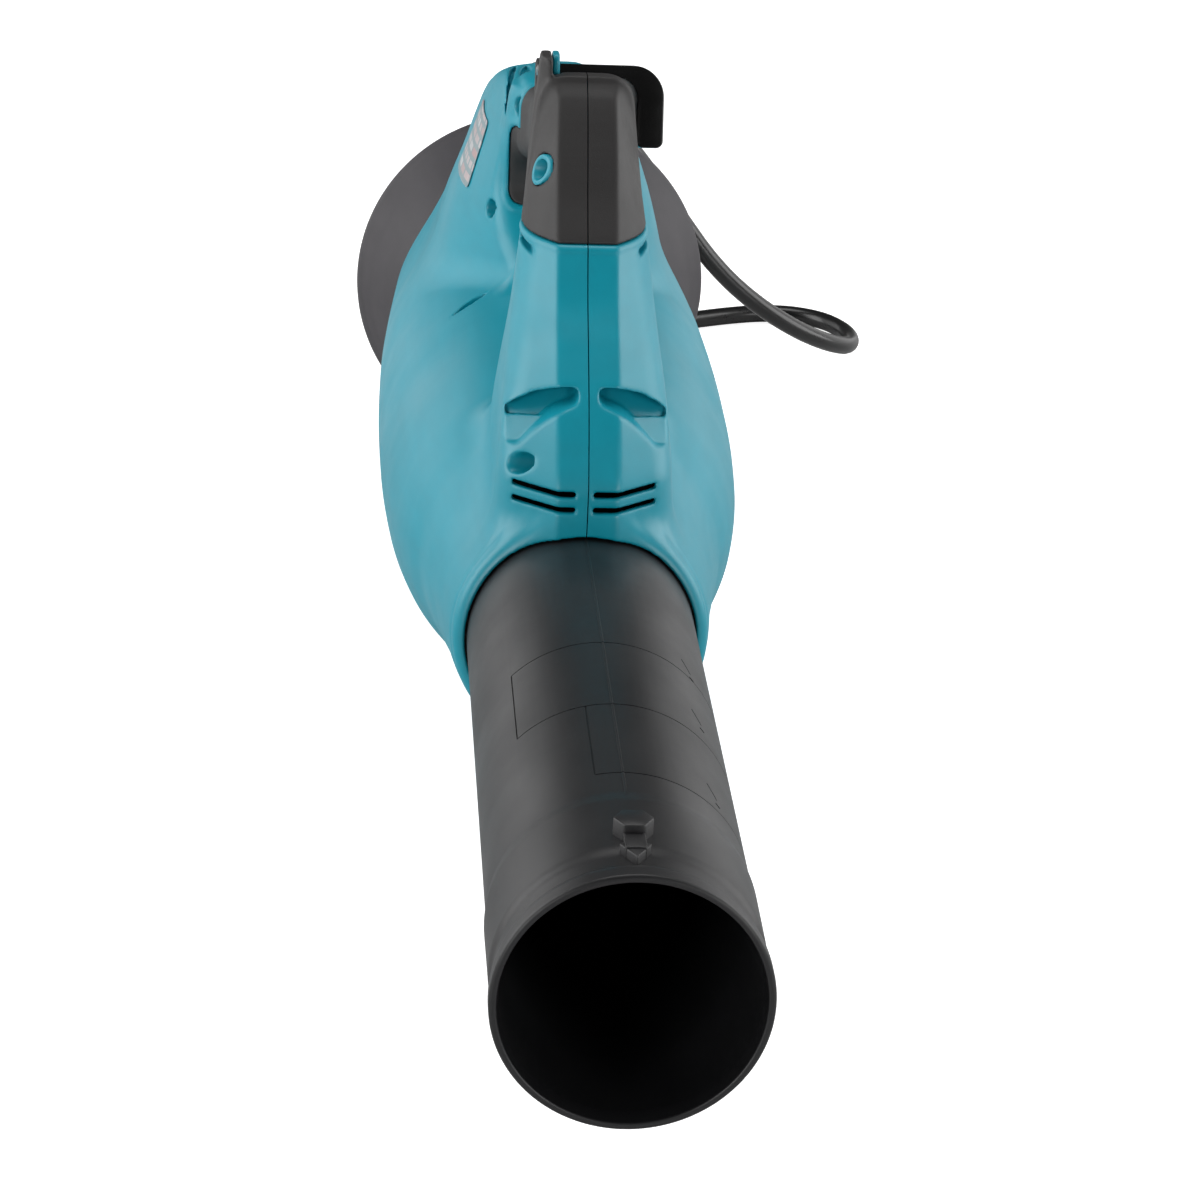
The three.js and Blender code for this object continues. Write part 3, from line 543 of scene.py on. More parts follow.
def make_flare():
    flare = turned("flare", rounded(FLARE, 2.4, 4), 224)
    ground = block("ground_cut", (-60, 700, -120), (60, 800, -AXIS_HEIGHT))
    return combine(flare, [ground], "DIFFERENCE")


finish_piece(make_flare(), "flare_plastic", replaces=["inlet_flare"], crease=30)


def make_guard():
    outer = turned("guard", rounded(ring_section(62.4, 64.5, 711.3, 717), 0.6), 128)
    parts = []
    for radius in (17, 26, 35.5, 45, 54.5):
        section = ring_section(radius - 0.9, radius + 0.9, 713, 715.6)
        parts.append(turned("guard_ring", rounded(section, 0.6), 96))
    hub = [(0, 712.4), (8, 712.4), (8, 715.4), (6.5, 716.2), (0, 716.2)]
    parts.append(turned("guard_hub", rounded(hub, 0.6, closed=False), 48))
    for k in range(6):
        spoke = bevelled(block("guard_spoke", (-1.2, 712.4, 6), (1.2, 716.2, 63.4)), 0.5)
        turn_about_axis(spoke, 2 * math.pi * k / 6)
        parts.append(spoke)
    return combine(outer, parts, "UNION")


def turn_about_axis(obj, angle):
    """Turns a mesh about the duct axis."""
    to_axis = Matrix.Translation((0, 0, AXIS_HEIGHT * 0.001))
    obj.data.transform(to_axis @ Matrix.Rotation(angle, 4, "Y") @ to_axis.inverted())


finish_piece(make_guard(), "inner_plastic", replaces=["intake_guard"])

# ---- fan
BLADES = 11


def blade_section(radius, chord, pitch, thickness, camber, count=14):
    """A thin cambered section, as points round it, at a radius on the upright blade."""
    made = []
    for k in range(2 * count):
        side = 1 if k < count else -1
        t = (k if k < count else 2 * count - k) / count
        across = 0.5 * thickness * math.sqrt(1 - (2 * t - 1) ** 4) + 0.15
        u = (t - 0.5) * chord
        v = camber * (1 - (2 * t - 1) ** 2) + side * across
        x, y = u * math.cos(pitch) - v * math.sin(pitch), u * math.sin(pitch) + v * math.cos(pitch)
        made.append((x, y, radius))
    return made


def make_impeller():
    hub = [(4.3, 646), (31, 646), (32, 647), (32, 681.4), (31.4, 682), (29.6, 682), (29.6, 652), (4.3, 652)]
    fan = turned("impeller_wheel", rounded(hub, 0.8), 96)
    blades = []
    sections = 9
    for k in range(BLADES):
        points = []
        for i in range(sections):
            t = i / (sections - 1)
            radius = 30.5 + (60.6 - 30.5) * t
            ring = blade_section(radius, 36 - 3 * t, math.radians(50 - 20 * t), 2.6 - t, 1.6)
            points += [(x, 664 + y, z) for x, y, z in ring]
        n = len(points) // sections
        faces = [list(range(n)), list(range(len(points) - n, len(points)))[::-1]]
        for i in range(sections - 1):
            for j in range(n):
                a, b = i * n + j, i * n + (j + 1) % n
                faces.append([a, b, b + n, a + n])
        one = fix_normals(mesh_object("blade", points, faces))
        turn_about_axis(one, 2 * math.pi * k / BLADES)
        blades.append(one)
    return combine(fan, blades, "UNION")


finish_piece(make_impeller(), "inner_plastic", "fan", ["impeller"])
spinner = [
    (0, 682.4), (31.8, 682.4), (31.6, 684), (30.4, 687.4), (26, 694), (18, 700), (9, 703.4), (0, 704.4),
]
spinner = turned("spinner", rounded(spinner, 2.5, 4, closed=False), 96)
finish_piece(spinner, "inner_plastic", "fan", ["spinner_cap"])

# ---- trigger, speed lever and hook
trigger_outline = [
    (435.5, 158), (436, 166.5), (441, 169.3), (446, 166), (451, 157.5), (462, 153.5), (474, 151),
    (478, 147.5), (477, 142.5), (470, 139), (462, 140.6), (454, 140.8), (446, 143), (438, 148),
]
pin_hole = cylinder_x("pin_hole", *TRIGGER_PIN, 2.3, -20, 20, 24)
trigger = bevelled(slab("trigger_blade", rounded(trigger_outline, 3, 3), -6.5, 6.5), 1.4, 3)
finish_piece(combine(trigger, [pin_hole], "DIFFERENCE"), "gloss_black", "trigger_body", ["trigger"])

lever = bevelled(cylinder_x("speed_dial", *SPEED_DIAL, 7.9, 13.4, 21, 64), 0.8)
paddle_outline = [
    (496.5, 153), (508, 150.4), (521.5, 149), (524.8, 152), (524, 158), (512, 161.6), (500, 164),
]
paddle = bevelled(slab("dial_paddle", rounded(paddle_outline, 3, 3), 20.4, 24.3), 0.9, 3)
grips = [cylinder_x("dial_groove", 507 + 3.4 * k, 156, 0.8, 23.9, 26, 12) for k in range(4)]
lever = combine(combine(lever, [paddle], "UNION"), grips, "DIFFERENCE")
finish_piece(lever, "gloss_black", "speed_control", ["speed_lever"])

HOOK_PIN = (-14.0, 202.4)
HOOK_FRONT, HOOK_REAR = 419.0, 461.0
HOOK_TILT = math.radians(15)  # the pin slopes down towards the rear, along the grip


def along_grip(obj):
    """Turns a level piece about the front end of the hook's pin so that it lies along the grip."""
    pivot = Matrix.Translation(Vector(to_row([(0, HOOK_FRONT, HOOK_PIN[1])])[0]))
    obj.data.transform(pivot @ Matrix.Rotation(-HOOK_TILT, 4, "X") @ pivot.inverted())
    return obj


def make_hook():
    """An arm across the handle that turns down into a broad rounded leg."""
    top, under, right, low = 205.0, 199.8, 33.0, 171.5
    leg = 11.0
    outline = [(HOOK_PIN[0], under)]
    outline += arc_points(right - leg - 8, under - 8, 8, 90, 0, 8)
    outline += [(right - leg, low + 3)]
    outline += arc_points(right - leg + 3, low + 3, 3, 180, 270, 5)
    outline += arc_points(right - 3, low + 3, 3, 270, 360, 5)
    outline += arc_points(right - 13, top - 13, 13, 0, 90, 12)
    outline += [(HOOK_PIN[0], top)]
    hook = bevelled(slab("hook", outline, HOOK_FRONT, HOOK_REAR, "Y"), 1.6, 4, 50)
    barrel = [(0, HOOK_FRONT), (4, HOOK_FRONT), (4, HOOK_REAR), (0, HOOK_REAR)]
    barrel = turned("hook_barrel", rounded(barrel, 0.6, closed=False), 48, centre=HOOK_PIN)
    hole = turned("hook_hole", [(0, 400), (2.3, 400), (2.3, 480), (0, 480)], 32, centre=HOOK_PIN)
    return along_grip(combine(combine(hook, [barrel], "UNION"), [hole], "DIFFERENCE"))


def arc_points(x, y, radius, start, end, steps):
    angles = [math.radians(start + (end - start) * k / steps) for k in range(steps + 1)]
    return [(x + radius * math.cos(a), y + radius * math.sin(a)) for a in angles]


finish_piece(make_hook(), "gloss_black", "hook", ["hanging_hook"])

# ---- screws and feet
WELL_RADIUS = 4.2
RIM_RADIUS = 6.2  # teal rim round the well on the handle
# name: [station, height, x of the head's outer face]
SCREWS = {
    "housing_screw_front": (309, 71.5, -17), "housing_screw_strut": (384, 170, -11),
    "housing_screw_bottom_front": (424, -71, -14), "housing_screw_bottom_rear": (455, -71, -14),
    "housing_screw_tower_front": (551, 104, -13), "housing_screw_tower_rear": (714, 90, -13),
    "housing_screw_grip_rear": (534, 156, -10),
}


def screw_piece(node, station, height, head):
    tip = 3.3 + abs(head) + 9  # past the seam, in the other half's boss
    outline = [(0, 0), (2, 0.05), (3.3, 0.6), (3.8, 1.7), (3.8, 3), (1.9, 3.2), (1.9, tip), (0, tip)]
    screw = turned(node + "_steel", outline, 40)
    lobes = []
    for k in range(24):
        a = 2 * math.pi * k / 24
        r = 1.55 + 0.28 * math.cos(6 * a)
        lobes.append((r * math.cos(a), r * math.sin(a)))
    combine(screw, [slab("recess", lobes, -1, 1.7, "Y")], "DIFFERENCE")
    # from a line along Y through the duct axis to a line along X through the screw's place
    centre = Vector(to_row([(0, 0, 0)])[0])
    place = Vector(to_row([(head - 3.2, station, height)])[0])
    turn_to_x = Matrix.Rotation(-math.pi / 2, 4, "Z")
    screw.data.transform(Matrix.Translation(place) @ turn_to_x @ Matrix.Translation(-centre))
    return screw


for screw_name, (station, height, head) in SCREWS.items():
    finish_piece(screw_piece(screw_name, station, height, head), "screw_steel", replaces=[screw_name])


def make_foot(name, x):
    """A rubber pad with rounded ends and three grip grooves under it."""
    outline = [(x - 10, 412), (x + 10, 412), (x + 10, 464), (x - 10, 464)]
    pad = bevelled(slab(name, rounded(outline, 4, 5), -AXIS_HEIGHT, -84, "Z"), 0.6)
    grooves = [block("groove", (x - 12, y - 1, -90), (x + 12, y + 1, -86.2)) for y in (425, 438, 451)]
    return combine(pad, grooves, "DIFFERENCE")


for foot_name, foot_x in (("right_foot", -17), ("left_foot", 17)):
    finish_piece(make_foot(foot_name + "_pad", foot_x), "rubber", replaces=[foot_name])

# ---- the casing as a distance field
VOXEL = 0.9
LOW = (-82.0, 288.0, -86.0)
HIGH = (82.0, 744.0, 217.0)
BARREL = [
    (299, 49.8), (304, 51.4), (335, 55.3), (362, 59.6), (382, 62.9), (398, 67.6), (418, 72.2), (450, 76.4),
    (500, 79), (550, 79.6), (610, 78.6), (660, 75.8), (722, 71),
]
STRUT_FRONT = [
    (40, 293), (63, 293), (80, 301), (97, 313), (113, 328), (128, 343), (147, 356), (162, 368), (180, 380),
    (197, 393), (203, 400),
]
STRUT_REAR = [
    (40, 410), (76, 399), (95, 391), (115, 389), (135, 394), (150, 405), (175, 424), (190, 422), (203, 411),
]
STRUT_HALF_WIDTH = [(40, 37), (85, 33.5), (115, 29.5), (147, 25.5), (176, 21), (197, 18)]
GRIP_TOP = [(400, 203), (415, 200.5), (440, 191.5), (470, 182), (500, 174.5), (530, 168.5), (580, 165)]
GRIP_LOW = [(400, 150), (420, 156.5), (445, 155), (480, 146), (510, 138), (535, 131), (580, 126)]
TOWER_FRONT = [(50, 516), (82, 521), (98, 536), (118, 547), (135, 546), (150, 540), (168, 540)]
TOWER_REAR = [(50, 742), (112, 740), (126, 716), (141, 668), (154, 624), (165, 584)]
TOWER_RIDGE = [(528, 165), (584, 163), (624, 154), (668, 141), (716, 125), (740, 112)]
TOWER_HALF_WIDTH = [(0, 17), (3, 24), (8, 28.3), (18, 32.3), (33, 37.3), (63, 48), (90, 55), (114, 60)]
TOWER_FRONT_HALF_WIDTH = 21.5
TOWER_SPREAD = (526.0, 114.0)  # station where its flanks start to spread, and the length that takes
THROUGH = 200.0  # far enough to cut right through
INSIDE_BARREL = 10.0  # height at which the strut and the tower end, hidden in the barrel
MOUTH_BORE, INLET_BORE = 46.5, 68.2
CRUMB = 200
TEAL_EAR_X = -12.4  # middle of the casing's own ear, beside the hook's black one
FOOT_DEPTH = 83.7  # the foot block's underside, below the duct axis
BAND = 12.0  # half-width of the flat band down the front of the handle


def smooth_line(table, at):
    """A smooth curve through a table that doesn't overshoot between its points."""
    t, v = np.array(table, float).T
    h = np.diff(t)
    d = np.diff(v) / h
    slope = np.concatenate([[d[0]], np.zeros(len(t) - 2), [d[-1]]])
    same = d[:-1] * d[1:] > 0
    slope[1:-1][same] = (2 * d[:-1] * d[1:] / np.where(same, d[:-1] + d[1:], 1))[same]
    i = np.clip(np.searchsorted(t, at) - 1, 0, len(t) - 2)
    s = np.clip((at - t[i]) / h[i], 0, 1)
    a, b = (1 + 2 * s) * (1 - s) ** 2, s * (1 - s) ** 2
    c, e = s * s * (3 - 2 * s), s * s * (s - 1)
    return a * v[i] + b * h[i] * slope[i] + c * v[i + 1] + e * h[i] * slope[i + 1]


def smoothstep(a, b, t):
    u = np.clip((t - a) / (b - a), 0, 1)
    return u * u * (3 - 2 * u)


def meet(a, b, k=0.0):
    """Both fields at once, with the edge between them rounded over about k."""
    if not k:
        return np.maximum(a, b)
    h = np.maximum(k - np.abs(a - b), 0)
    return np.maximum(a, b) + h * h / (4 * k)


def join(a, b, k=0.0):
    """Either field, with a fillet of about k where they meet."""
    return -meet(-a, -b, k)


def even(distance, slope):
    """Turns a distance along an axis into the one square to a surface of that slope."""
    return distance / np.sqrt(1 + slope ** 2)


def polygon(outline, u, v):
    """Distance to a closed outline in a plane, negative inside."""
    p = np.array(outline, float)
    best = np.full(np.broadcast(u, v).shape, 1e9)
    inside = np.zeros(best.shape, bool)
    for a, b in zip(p, np.roll(p, -1, axis=0)):
        e = b - a
        wu, wv = u - a[0], v - a[1]
        t = np.clip((wu * e[0] + wv * e[1]) / (e @ e), 0, 1)
        best = np.minimum(best, np.hypot(wu - t * e[0], wv - t * e[1]))
        crosses = (a[1] > v) != (b[1] > v)
        if e[1]:
            inside ^= crosses & (u < a[0] + e[0] * (v - a[1]) / e[1])
    return np.where(inside, -best, best)


class Field:
    """The casing's solids on a grid. Every method returns a distance in millimetres."""

    def __init__(self):
        axes = [np.arange(a, b, VOXEL, dtype=np.float32) for a, b in zip(LOW, HIGH)]
        axes[0] = np.linspace(LOW[0], HIGH[0], len(axes[0]), dtype=np.float32)
        self.axes = axes
        self.x = axes[0][:, None, None]
        self.y = axes[1][None, :, None]
        self.z = axes[2][None, None, :]
        self.side = np.abs(self.x)
        self.radius = np.sqrt(self.x ** 2 + self.z ** 2)

    def level(self, table, axis):
        """A table's curve along the grid's Y or Z, and its slope."""
        at = self.axes[axis]
        values = smooth_line(table, at).astype(np.float32)
        slope = np.gradient(values, at).astype(np.float32)
        shape = [1, 1, 1]
        shape[axis] = -1
        return values.reshape(shape), slope.reshape(shape)

    def barrel(self):
        radius, slope = self.level(BARREL, 1)
        round_wall = even(self.radius - radius, slope)
        rim = 0.5 * np.exp(-(((self.y - 307.5) / 1.5) ** 2))
        return meet(meet(round_wall + rim, MOUTH - self.y, 5), self.y - HOUSING_END, 2.5)

    def strut(self):
        front, front_slope = self.level(STRUT_FRONT, 2)
        rear, rear_slope = self.level(STRUT_REAR, 2)
        width, width_slope = self.level(STRUT_HALF_WIDTH, 2)
        chamfer = 0.8 + 0.4 * smoothstep(60, 147, self.z)
        facing = even(front - self.y, front_slope)
        slanted = chamfer * (self.side - BAND) - (self.y - front)
        slanted = slanted / np.sqrt(chamfer ** 2 + 1 + front_slope ** 2)
        flank = even(self.side - width, width_slope)
        back = even(self.y - rear, rear_slope)
        self.strut_face, self.strut_flank = meet(facing, slanted, 0.9), flank
        body = meet(self.strut_face, flank, 9)
        return meet(meet(meet(body, back, 12), self.z - 203, 6), INSIDE_BARREL - self.z)

    def grip(self):
        top, top_slope = self.level(GRIP_TOP, 1)
        low, low_slope = self.level(GRIP_LOW, 1)
        over = even(self.z - top, top_slope)
        under = even(low - self.z, low_slope)
        flank = self.side - 18 - 4 * smoothstep(500, 552, self.y)
        return meet(meet(meet(over, flank, 13), under, 12), meet(402 - self.y, self.y - 552))

    def tower(self):
        front, front_slope = self.level(TOWER_FRONT, 2)
        rear, rear_slope = self.level(TOWER_REAR, 2)
        full = smooth_line(TOWER_HALF_WIDTH, self.level(TOWER_RIDGE, 1)[0] - self.z).astype(np.float32)
        near = np.minimum(full, TOWER_FRONT_HALF_WIDTH)
        spread = np.clip((self.y - TOWER_SPREAD[0]) / TOWER_SPREAD[1], 0, 1)
        width = near + (full - near) * (1 - (1 - spread) ** 2)
        grow_y, grow_z = np.gradient(width[0], self.axes[1], self.axes[2])
        flank = (self.side - width) / np.sqrt(1 + grow_y ** 2 + grow_z ** 2)[None]
        facing = even(front - self.y, front_slope)
        back = even(self.y - rear, rear_slope)
        body = meet(meet(meet(flank, facing, 8), back, 8), self.z - 165, 5)
        return meet(body, INSIDE_BARREL - self.z)

    def foot_block(self):
        rise = np.maximum(0, self.z + FOOT_DEPTH)
        sides = self.side - 30 - 0.1 * rise
        ends = np.abs(self.y - 438) - 34 - 0.55 * rise
        return meet(meet(meet(sides, ends, 5), -FOOT_DEPTH - self.z, 1.5), self.z + 50)

    def rod_x(self, station, height, radius, low, high=THROUGH):
        across = np.sqrt((self.y - station) ** 2 + (self.z - height) ** 2) - radius
        return meet(meet(across, low - self.x), self.x - high)

    def box(self, low, high):
        field = None
        for axis, a, b in zip((self.x, self.y, self.z), low, high):
            one = np.abs(axis - (a + b) / 2) - (b - a) / 2
            field = one if field is None else meet(field, one)
        return field


def carve_pockets(f, outer):
    """The stepped recess either side of the seam: a ramp low down and a deep pocket behind its crest."""
    outline = [
        (4.1, 100.4), (11.8, 100.4), (21.8, 96.4), (29.6, 90.8), (33.6, 84.6), (33.6, 79.8), (31.6, 77),
        (27.4, 77.8), (21.6, 84.2), (15.2, 90), (11.2, 92.6), (4.1, 95.2),
    ]
    opening = polygon(rounded(outline, 2.5, 3), f.side[:, :, 0], f.z[0]).astype(np.float32)[:, None, :]
    opening = meet(opening, f.strut_flank + 1.5)
    depth = -f.strut_face
    crest = 92.4 - 0.24 * f.side
    ramp = meet(opening, depth - 2.8 - 0.26 * np.maximum(0, f.z - 77))
    deep = meet(meet(opening, (crest - 0.7 * depth - f.z + 4) / 1.22, 0.6), depth - 12 + 0.16 * f.side)
    recess = meet(join(ramp, deep), f.y - 352)
    return meet(outer, -recess, 1.3)


def vents(f):
    """Two slots on each side of the seam, the left pair a little nearer to it."""
    slots = None
    for height in (57.7, 64.0):
        for low, high in ((-29.3, -4.8), (1.9, 27.4)):
            slot = f.box((low, 280, height - 1.2), (high, 332, height + 1.2))
            slots = slot if slots is None else join(slots, slot)
    return slots


def small_openings(f, outer):
    """Shallow slots round the handle's foot, on the right flank and on the tower's shoulder."""
    foot_slots = meet(np.abs(f.z - 142 - 0.25 * (f.side - 24)) - 1.3, np.abs(f.side - 24.2) - 3.2, 0.8)
    foot_slots = meet(foot_slots, f.y - 385)
    along = (f.x + 39.8) * 0.93 + (f.y - 522.5) * 0.38
    across = (f.y - 522.5) * 0.93 - (f.x + 39.8) * 0.38
    lens = meet(np.abs(across) - 2.5 * (1 - (along / 8.5) ** 2), np.abs(along) - 8.5)
    shoulder = (f.y - 549) / 52
    groove = meet(np.abs(f.x + 25 - 5.2 * shoulder) - 1.3, np.abs(f.y - 575) - 26, 0.8)
    half_width = 2.2 * (1 - ((f.y - 572) / 19) ** 2)
    hollow = meet(np.abs(f.x + 18 - 3.4 * shoulder) - half_width, np.abs(f.y - 572) - 18)
    shallow = join(meet(lens, 55 - f.z), join(meet(groove, 148 - f.z), meet(hollow, 155 - f.z)))
    return join(meet(foot_slots, -outer - 4), meet(shallow, -outer - 3.4))


def casing_fields():
    """(teal casing, soft overmould) before they are split at the seam."""
    f = Field()
    handle = join(join(f.strut(), f.grip(), 8), f.tower(), 8)
    covered = join(meet(f.y - 410, 147 - f.z), meet(meet(400 - f.y, 124 - f.z), f.y - 528))
    pad = meet(meet(f.side - 23.5, np.abs(f.z - 128) - 20, 7), np.abs(f.y - 542) - 17)  # faces the hand gap
    on_handle = join(meet(covered, 110 - f.z), pad)
    outer = join(join(f.barrel(), handle, 10), f.foot_block(), 6)
    lip = 0.6 * np.exp(-(((on_handle - 1.3) / 0.9) ** 2))
    under_skin = meet(outer - lip, join(-on_handle, outer + SKIN + 0.3))
    teal = carve_pockets(f, under_skin)

    ear = ear_field(f, 407, 418, 211.5)
    ear_face = ear_field(f, 401, 418, 211.5)
    rear_ear = ear_field(f, 462, 471, 195)
    teal_ear = meet(ear, np.abs(f.x - TEAL_EAR_X) - 1.5, 0.6)
    spread = 0.07 * np.maximum(0, 211 - f.z)  # the ear runs down into the handle's flank
    front_ear = meet(ear_face, np.abs(f.x + 16.4 + spread / 2) - 2.3 - spread / 2, 1.2)
    front_ear = meet(front_ear, (-f.x - 15.4) * 0.81 - (f.y - 401) * 0.59, 1)
    black_ears = join(front_ear, meet(rear_ear, np.abs(f.x + 14.4) - 3.2, 0.8))
    teal = join(teal, teal_ear)

    screw_bores = None
    for station, height, head in SCREWS.values():
        bore = join(f.rod_x(station, height, WELL_RADIUS, -THROUGH, head),
                    f.rod_x(station, height, 2.1, head - 1, 14))
        screw_bores = bore if screw_bores is None else join(screw_bores, bore)
    teal = meet(teal, -screw_bores, 0.9)
    teal = meet(teal, -small_openings(f, outer), 0.6)

    flare_wall, flare_slope = f.level([(y, r) for r, y in FLARE[:8]], 1)
    flare_room = meet(even(f.radius - flare_wall - 0.6, flare_slope), 709 - f.y)
    teal = meet(teal, -flare_room)
    shell = meet(teal, -(teal + WALL))
    trigger_slot, dial_hole = f.box((-7.8, 432, 126), (7.8, 485, 164)), f.rod_x(*SPEED_DIAL, 9, 10)
    gland_hole = np.sqrt(f.x ** 2 + (f.z - GLAND_HEIGHT) ** 2) - 8.3
    openings = [
        meet(f.radius - MOUTH_BORE, f.y - 330), meet(f.radius - INLET_BORE, 690 - f.y), trigger_slot,
        dial_hole, meet(gland_hole, 690 - f.y), vents(f),
    ]
    for opening in openings:
        shell = meet(shell, -opening, 0.5)

    skin = meet(meet(outer, -(outer + SKIN), 0.3), on_handle + 0.15)
    skin = meet(skin, join(pad, -meet(f.tower() - 0.3, 500 - f.y)))
    skin = meet(skin, -f.rod_x(*SCREWS["housing_screw_strut"][:2], RIM_RADIUS + 0.3, -THROUGH, 0))
    skin = join(skin, meet(black_ears, -(outer + SKIN)), 1.5)
    for opening in (trigger_slot, dial_hole, meet(ear, np.abs(f.x - TEAL_EAR_X) - 1.8), screw_bores):
        skin = meet(skin, -opening, 0.5)
    drop = np.tan(HOOK_TILT) * (f.y - HOOK_FRONT)
    pin = np.sqrt((f.x - HOOK_PIN[0]) ** 2 + ((f.z - HOOK_PIN[1] + drop) * np.cos(HOOK_TILT)) ** 2) - 2.3
    pin = meet(pin, np.abs(f.y - 440) - 26)
    f.outer = outer
    return f, meet(shell, -pin), meet(skin, -pin)


def ear_field(f, front, back, top):
    """The rounded side outline of a hook ear."""
    reach = meet(np.abs(f.y - (front + back) / 2) - (back - front) / 2, f.z - top, 4)
    return meet(reach, 176 - f.z)


def grid_frame(axes):
    """A grid's first point and its steps."""
    return np.array([a[0] for a in axes]), np.array([a[1] - a[0] for a in axes])


def directions(f, grid, points):
    """The field's gradient at each point, as unit vectors."""
    starts, steps = grid_frame(f.axes)
    index = (points - starts) / steps
    base = np.clip(np.floor(index).astype(int), 1, np.array(grid.shape) - 3)
    part = (index - base).clip(0, 1)
    total = np.zeros_like(points)
    for corner in range(8):
        offset = np.array([corner & 1, corner >> 1 & 1, corner >> 2 & 1])
        weight = np.prod(np.where(offset, part, 1 - part), axis=1)[:, None]
        i, j, k = (base + offset).T
        slope = np.stack([grid[i + 1, j, k] - grid[i - 1, j, k], grid[i, j + 1, k] - grid[i, j - 1, k],
                          grid[i, j, k + 1] - grid[i, j, k - 1]], axis=1)
        total += weight * slope
    return total / np.maximum(np.linalg.norm(total, axis=1, keepdims=True), 1e-9)


def surface(axes, grid):
    """Points, triangles and quads of a field's zero surface, in machine millimetres."""
    values = openvdb.FloatGrid()
    values.background = 5.0
    values.copyFromArray(np.ascontiguousarray(np.clip(grid, -5, 5), dtype=np.float32))
    points, triangles, quads = values.convertToPolygons(isovalue=0.0, adaptivity=0.0)
    starts, steps = grid_frame(axes)
    return points * steps + starts, triangles, quads


def casing_half(name, f, grid, side, slot, replaces):
    """One half of a hollow piece, cut at the seam, with normals taken from the field."""
    keep = f.axes[0] * side > -4
    points, triangles, quads = surface([f.axes[0][keep], *f.axes[1:]], grid[keep])
    obj = mesh_object(name, points, quads.tolist() + triangles.tolist())
    bm = bmesh.new()
    bm.from_mesh(obj.data)
    plane = Vector((side * SEAM * 0.001, 0, 0))
    geometry = bm.verts[:] + bm.edges[:] + bm.faces[:]
    bmesh.ops.bisect_plane(bm, geom=geometry, plane_co=plane, plane_no=(-side, 0, 0), clear_outer=True)
    rim = [e for e in bm.edges if e.is_boundary]
    bmesh.ops.triangle_fill(bm, use_beauty=False, edges=rim, normal=(-side, 0, 0))
    drop_crumbs(bm)
    bmesh.ops.recalc_face_normals(bm, faces=bm.faces)
    bm.to_mesh(obj.data)
    bm.free()
    # decimation keeps the flat stretches light
    apply(obj, "DECIMATE", ratio=0.5 if slot == "casing_teal" else 0.6)
    obj.data.shade_smooth()
    shade_from_field(obj, f, grid, side)
    dress(obj, slot, replaces=[replaces])


def drop_crumbs(bm):
    """Removes loose flakes of fewer than CRUMB faces."""
    bm.faces.index_update()
    seen, crumbs = set(), []
    for face in bm.faces:
        if face.index in seen:
            continue
        island, stack = [], [face]
        seen.add(face.index)
        while stack:
            one = stack.pop()
            island.append(one)
            for edge in one.edges:
                for other in edge.link_faces:
                    if other.index not in seen:
                        seen.add(other.index)
                        stack.append(other)
        if len(island) < CRUMB:
            crumbs += island
    if crumbs:
        bmesh.ops.delete(bm, geom=crumbs, context="FACES")


def read(items, attribute, kind, width):
    """An attribute of all the mesh's items as rows of that width."""
    values = np.zeros(len(items) * width, kind)
    items.foreach_get(attribute, values)
    return values.reshape(-1, width)


def shade_from_field(obj, f, grid, side):
    """Custom normals from the field, so that decimation doesn't show."""
    mesh = obj.data
    points = read(mesh.vertices, "co", np.float32, 3) * 1000 - (0.0, -MIDDLE, AXIS_HEIGHT)
    loops = read(mesh.loops, "vertex_index", np.int32, 1)[:, 0]
    loop_normals = directions(f, grid, points)[loops]
    totals = read(mesh.polygons, "loop_total", np.int32, 1)[:, 0]
    own = np.repeat(read(mesh.polygons, "normal", np.float32, 3), totals, axis=0)
    # the seam's cut faces, and corners where the field turns too sharply, keep their face's normal
    cut = (own[:, 0] * -side > 0.98) & (np.abs(points[loops][:, 0] - side * SEAM) < 0.05)
    away = (own * loop_normals).sum(axis=1) < 0.35
    mesh.normals_split_custom_set(np.where((cut | away)[:, None], own, loop_normals).tolist())


field, casing_grid, skin_grid = casing_fields()
for side, hand in ((-1, "right"), (1, "left")):
    casing_half(f"{hand}_casing", field, casing_grid, side, "casing_teal", f"{hand}_housing")
    casing_half(f"{hand}_grip_skin", field, skin_grid, side, "soft_grip", f"{hand}_grip_overmould")


def surface_x(f, station, height):
    """Where a line along X first meets the casing's outer skin from the right, in mm."""
    j, u = divmod((station - f.axes[1][0]) / (f.axes[1][1] - f.axes[1][0]), 1)
    k, w = divmod((height - f.axes[2][0]) / (f.axes[2][1] - f.axes[2][0]), 1)
    j, k = int(j), int(k)
    near = f.outer[:, j:j + 2, k:k + 2]
    rows = near[:, :, 0] * (1 - w) + near[:, :, 1] * w
    line = rows[:, 0] * (1 - u) + rows[:, 1] * u
    i = int(np.argmax(line < 0))
    return float(np.interp(0, [line[i], line[i - 1]], [f.axes[0][i], f.axes[0][i - 1]]))


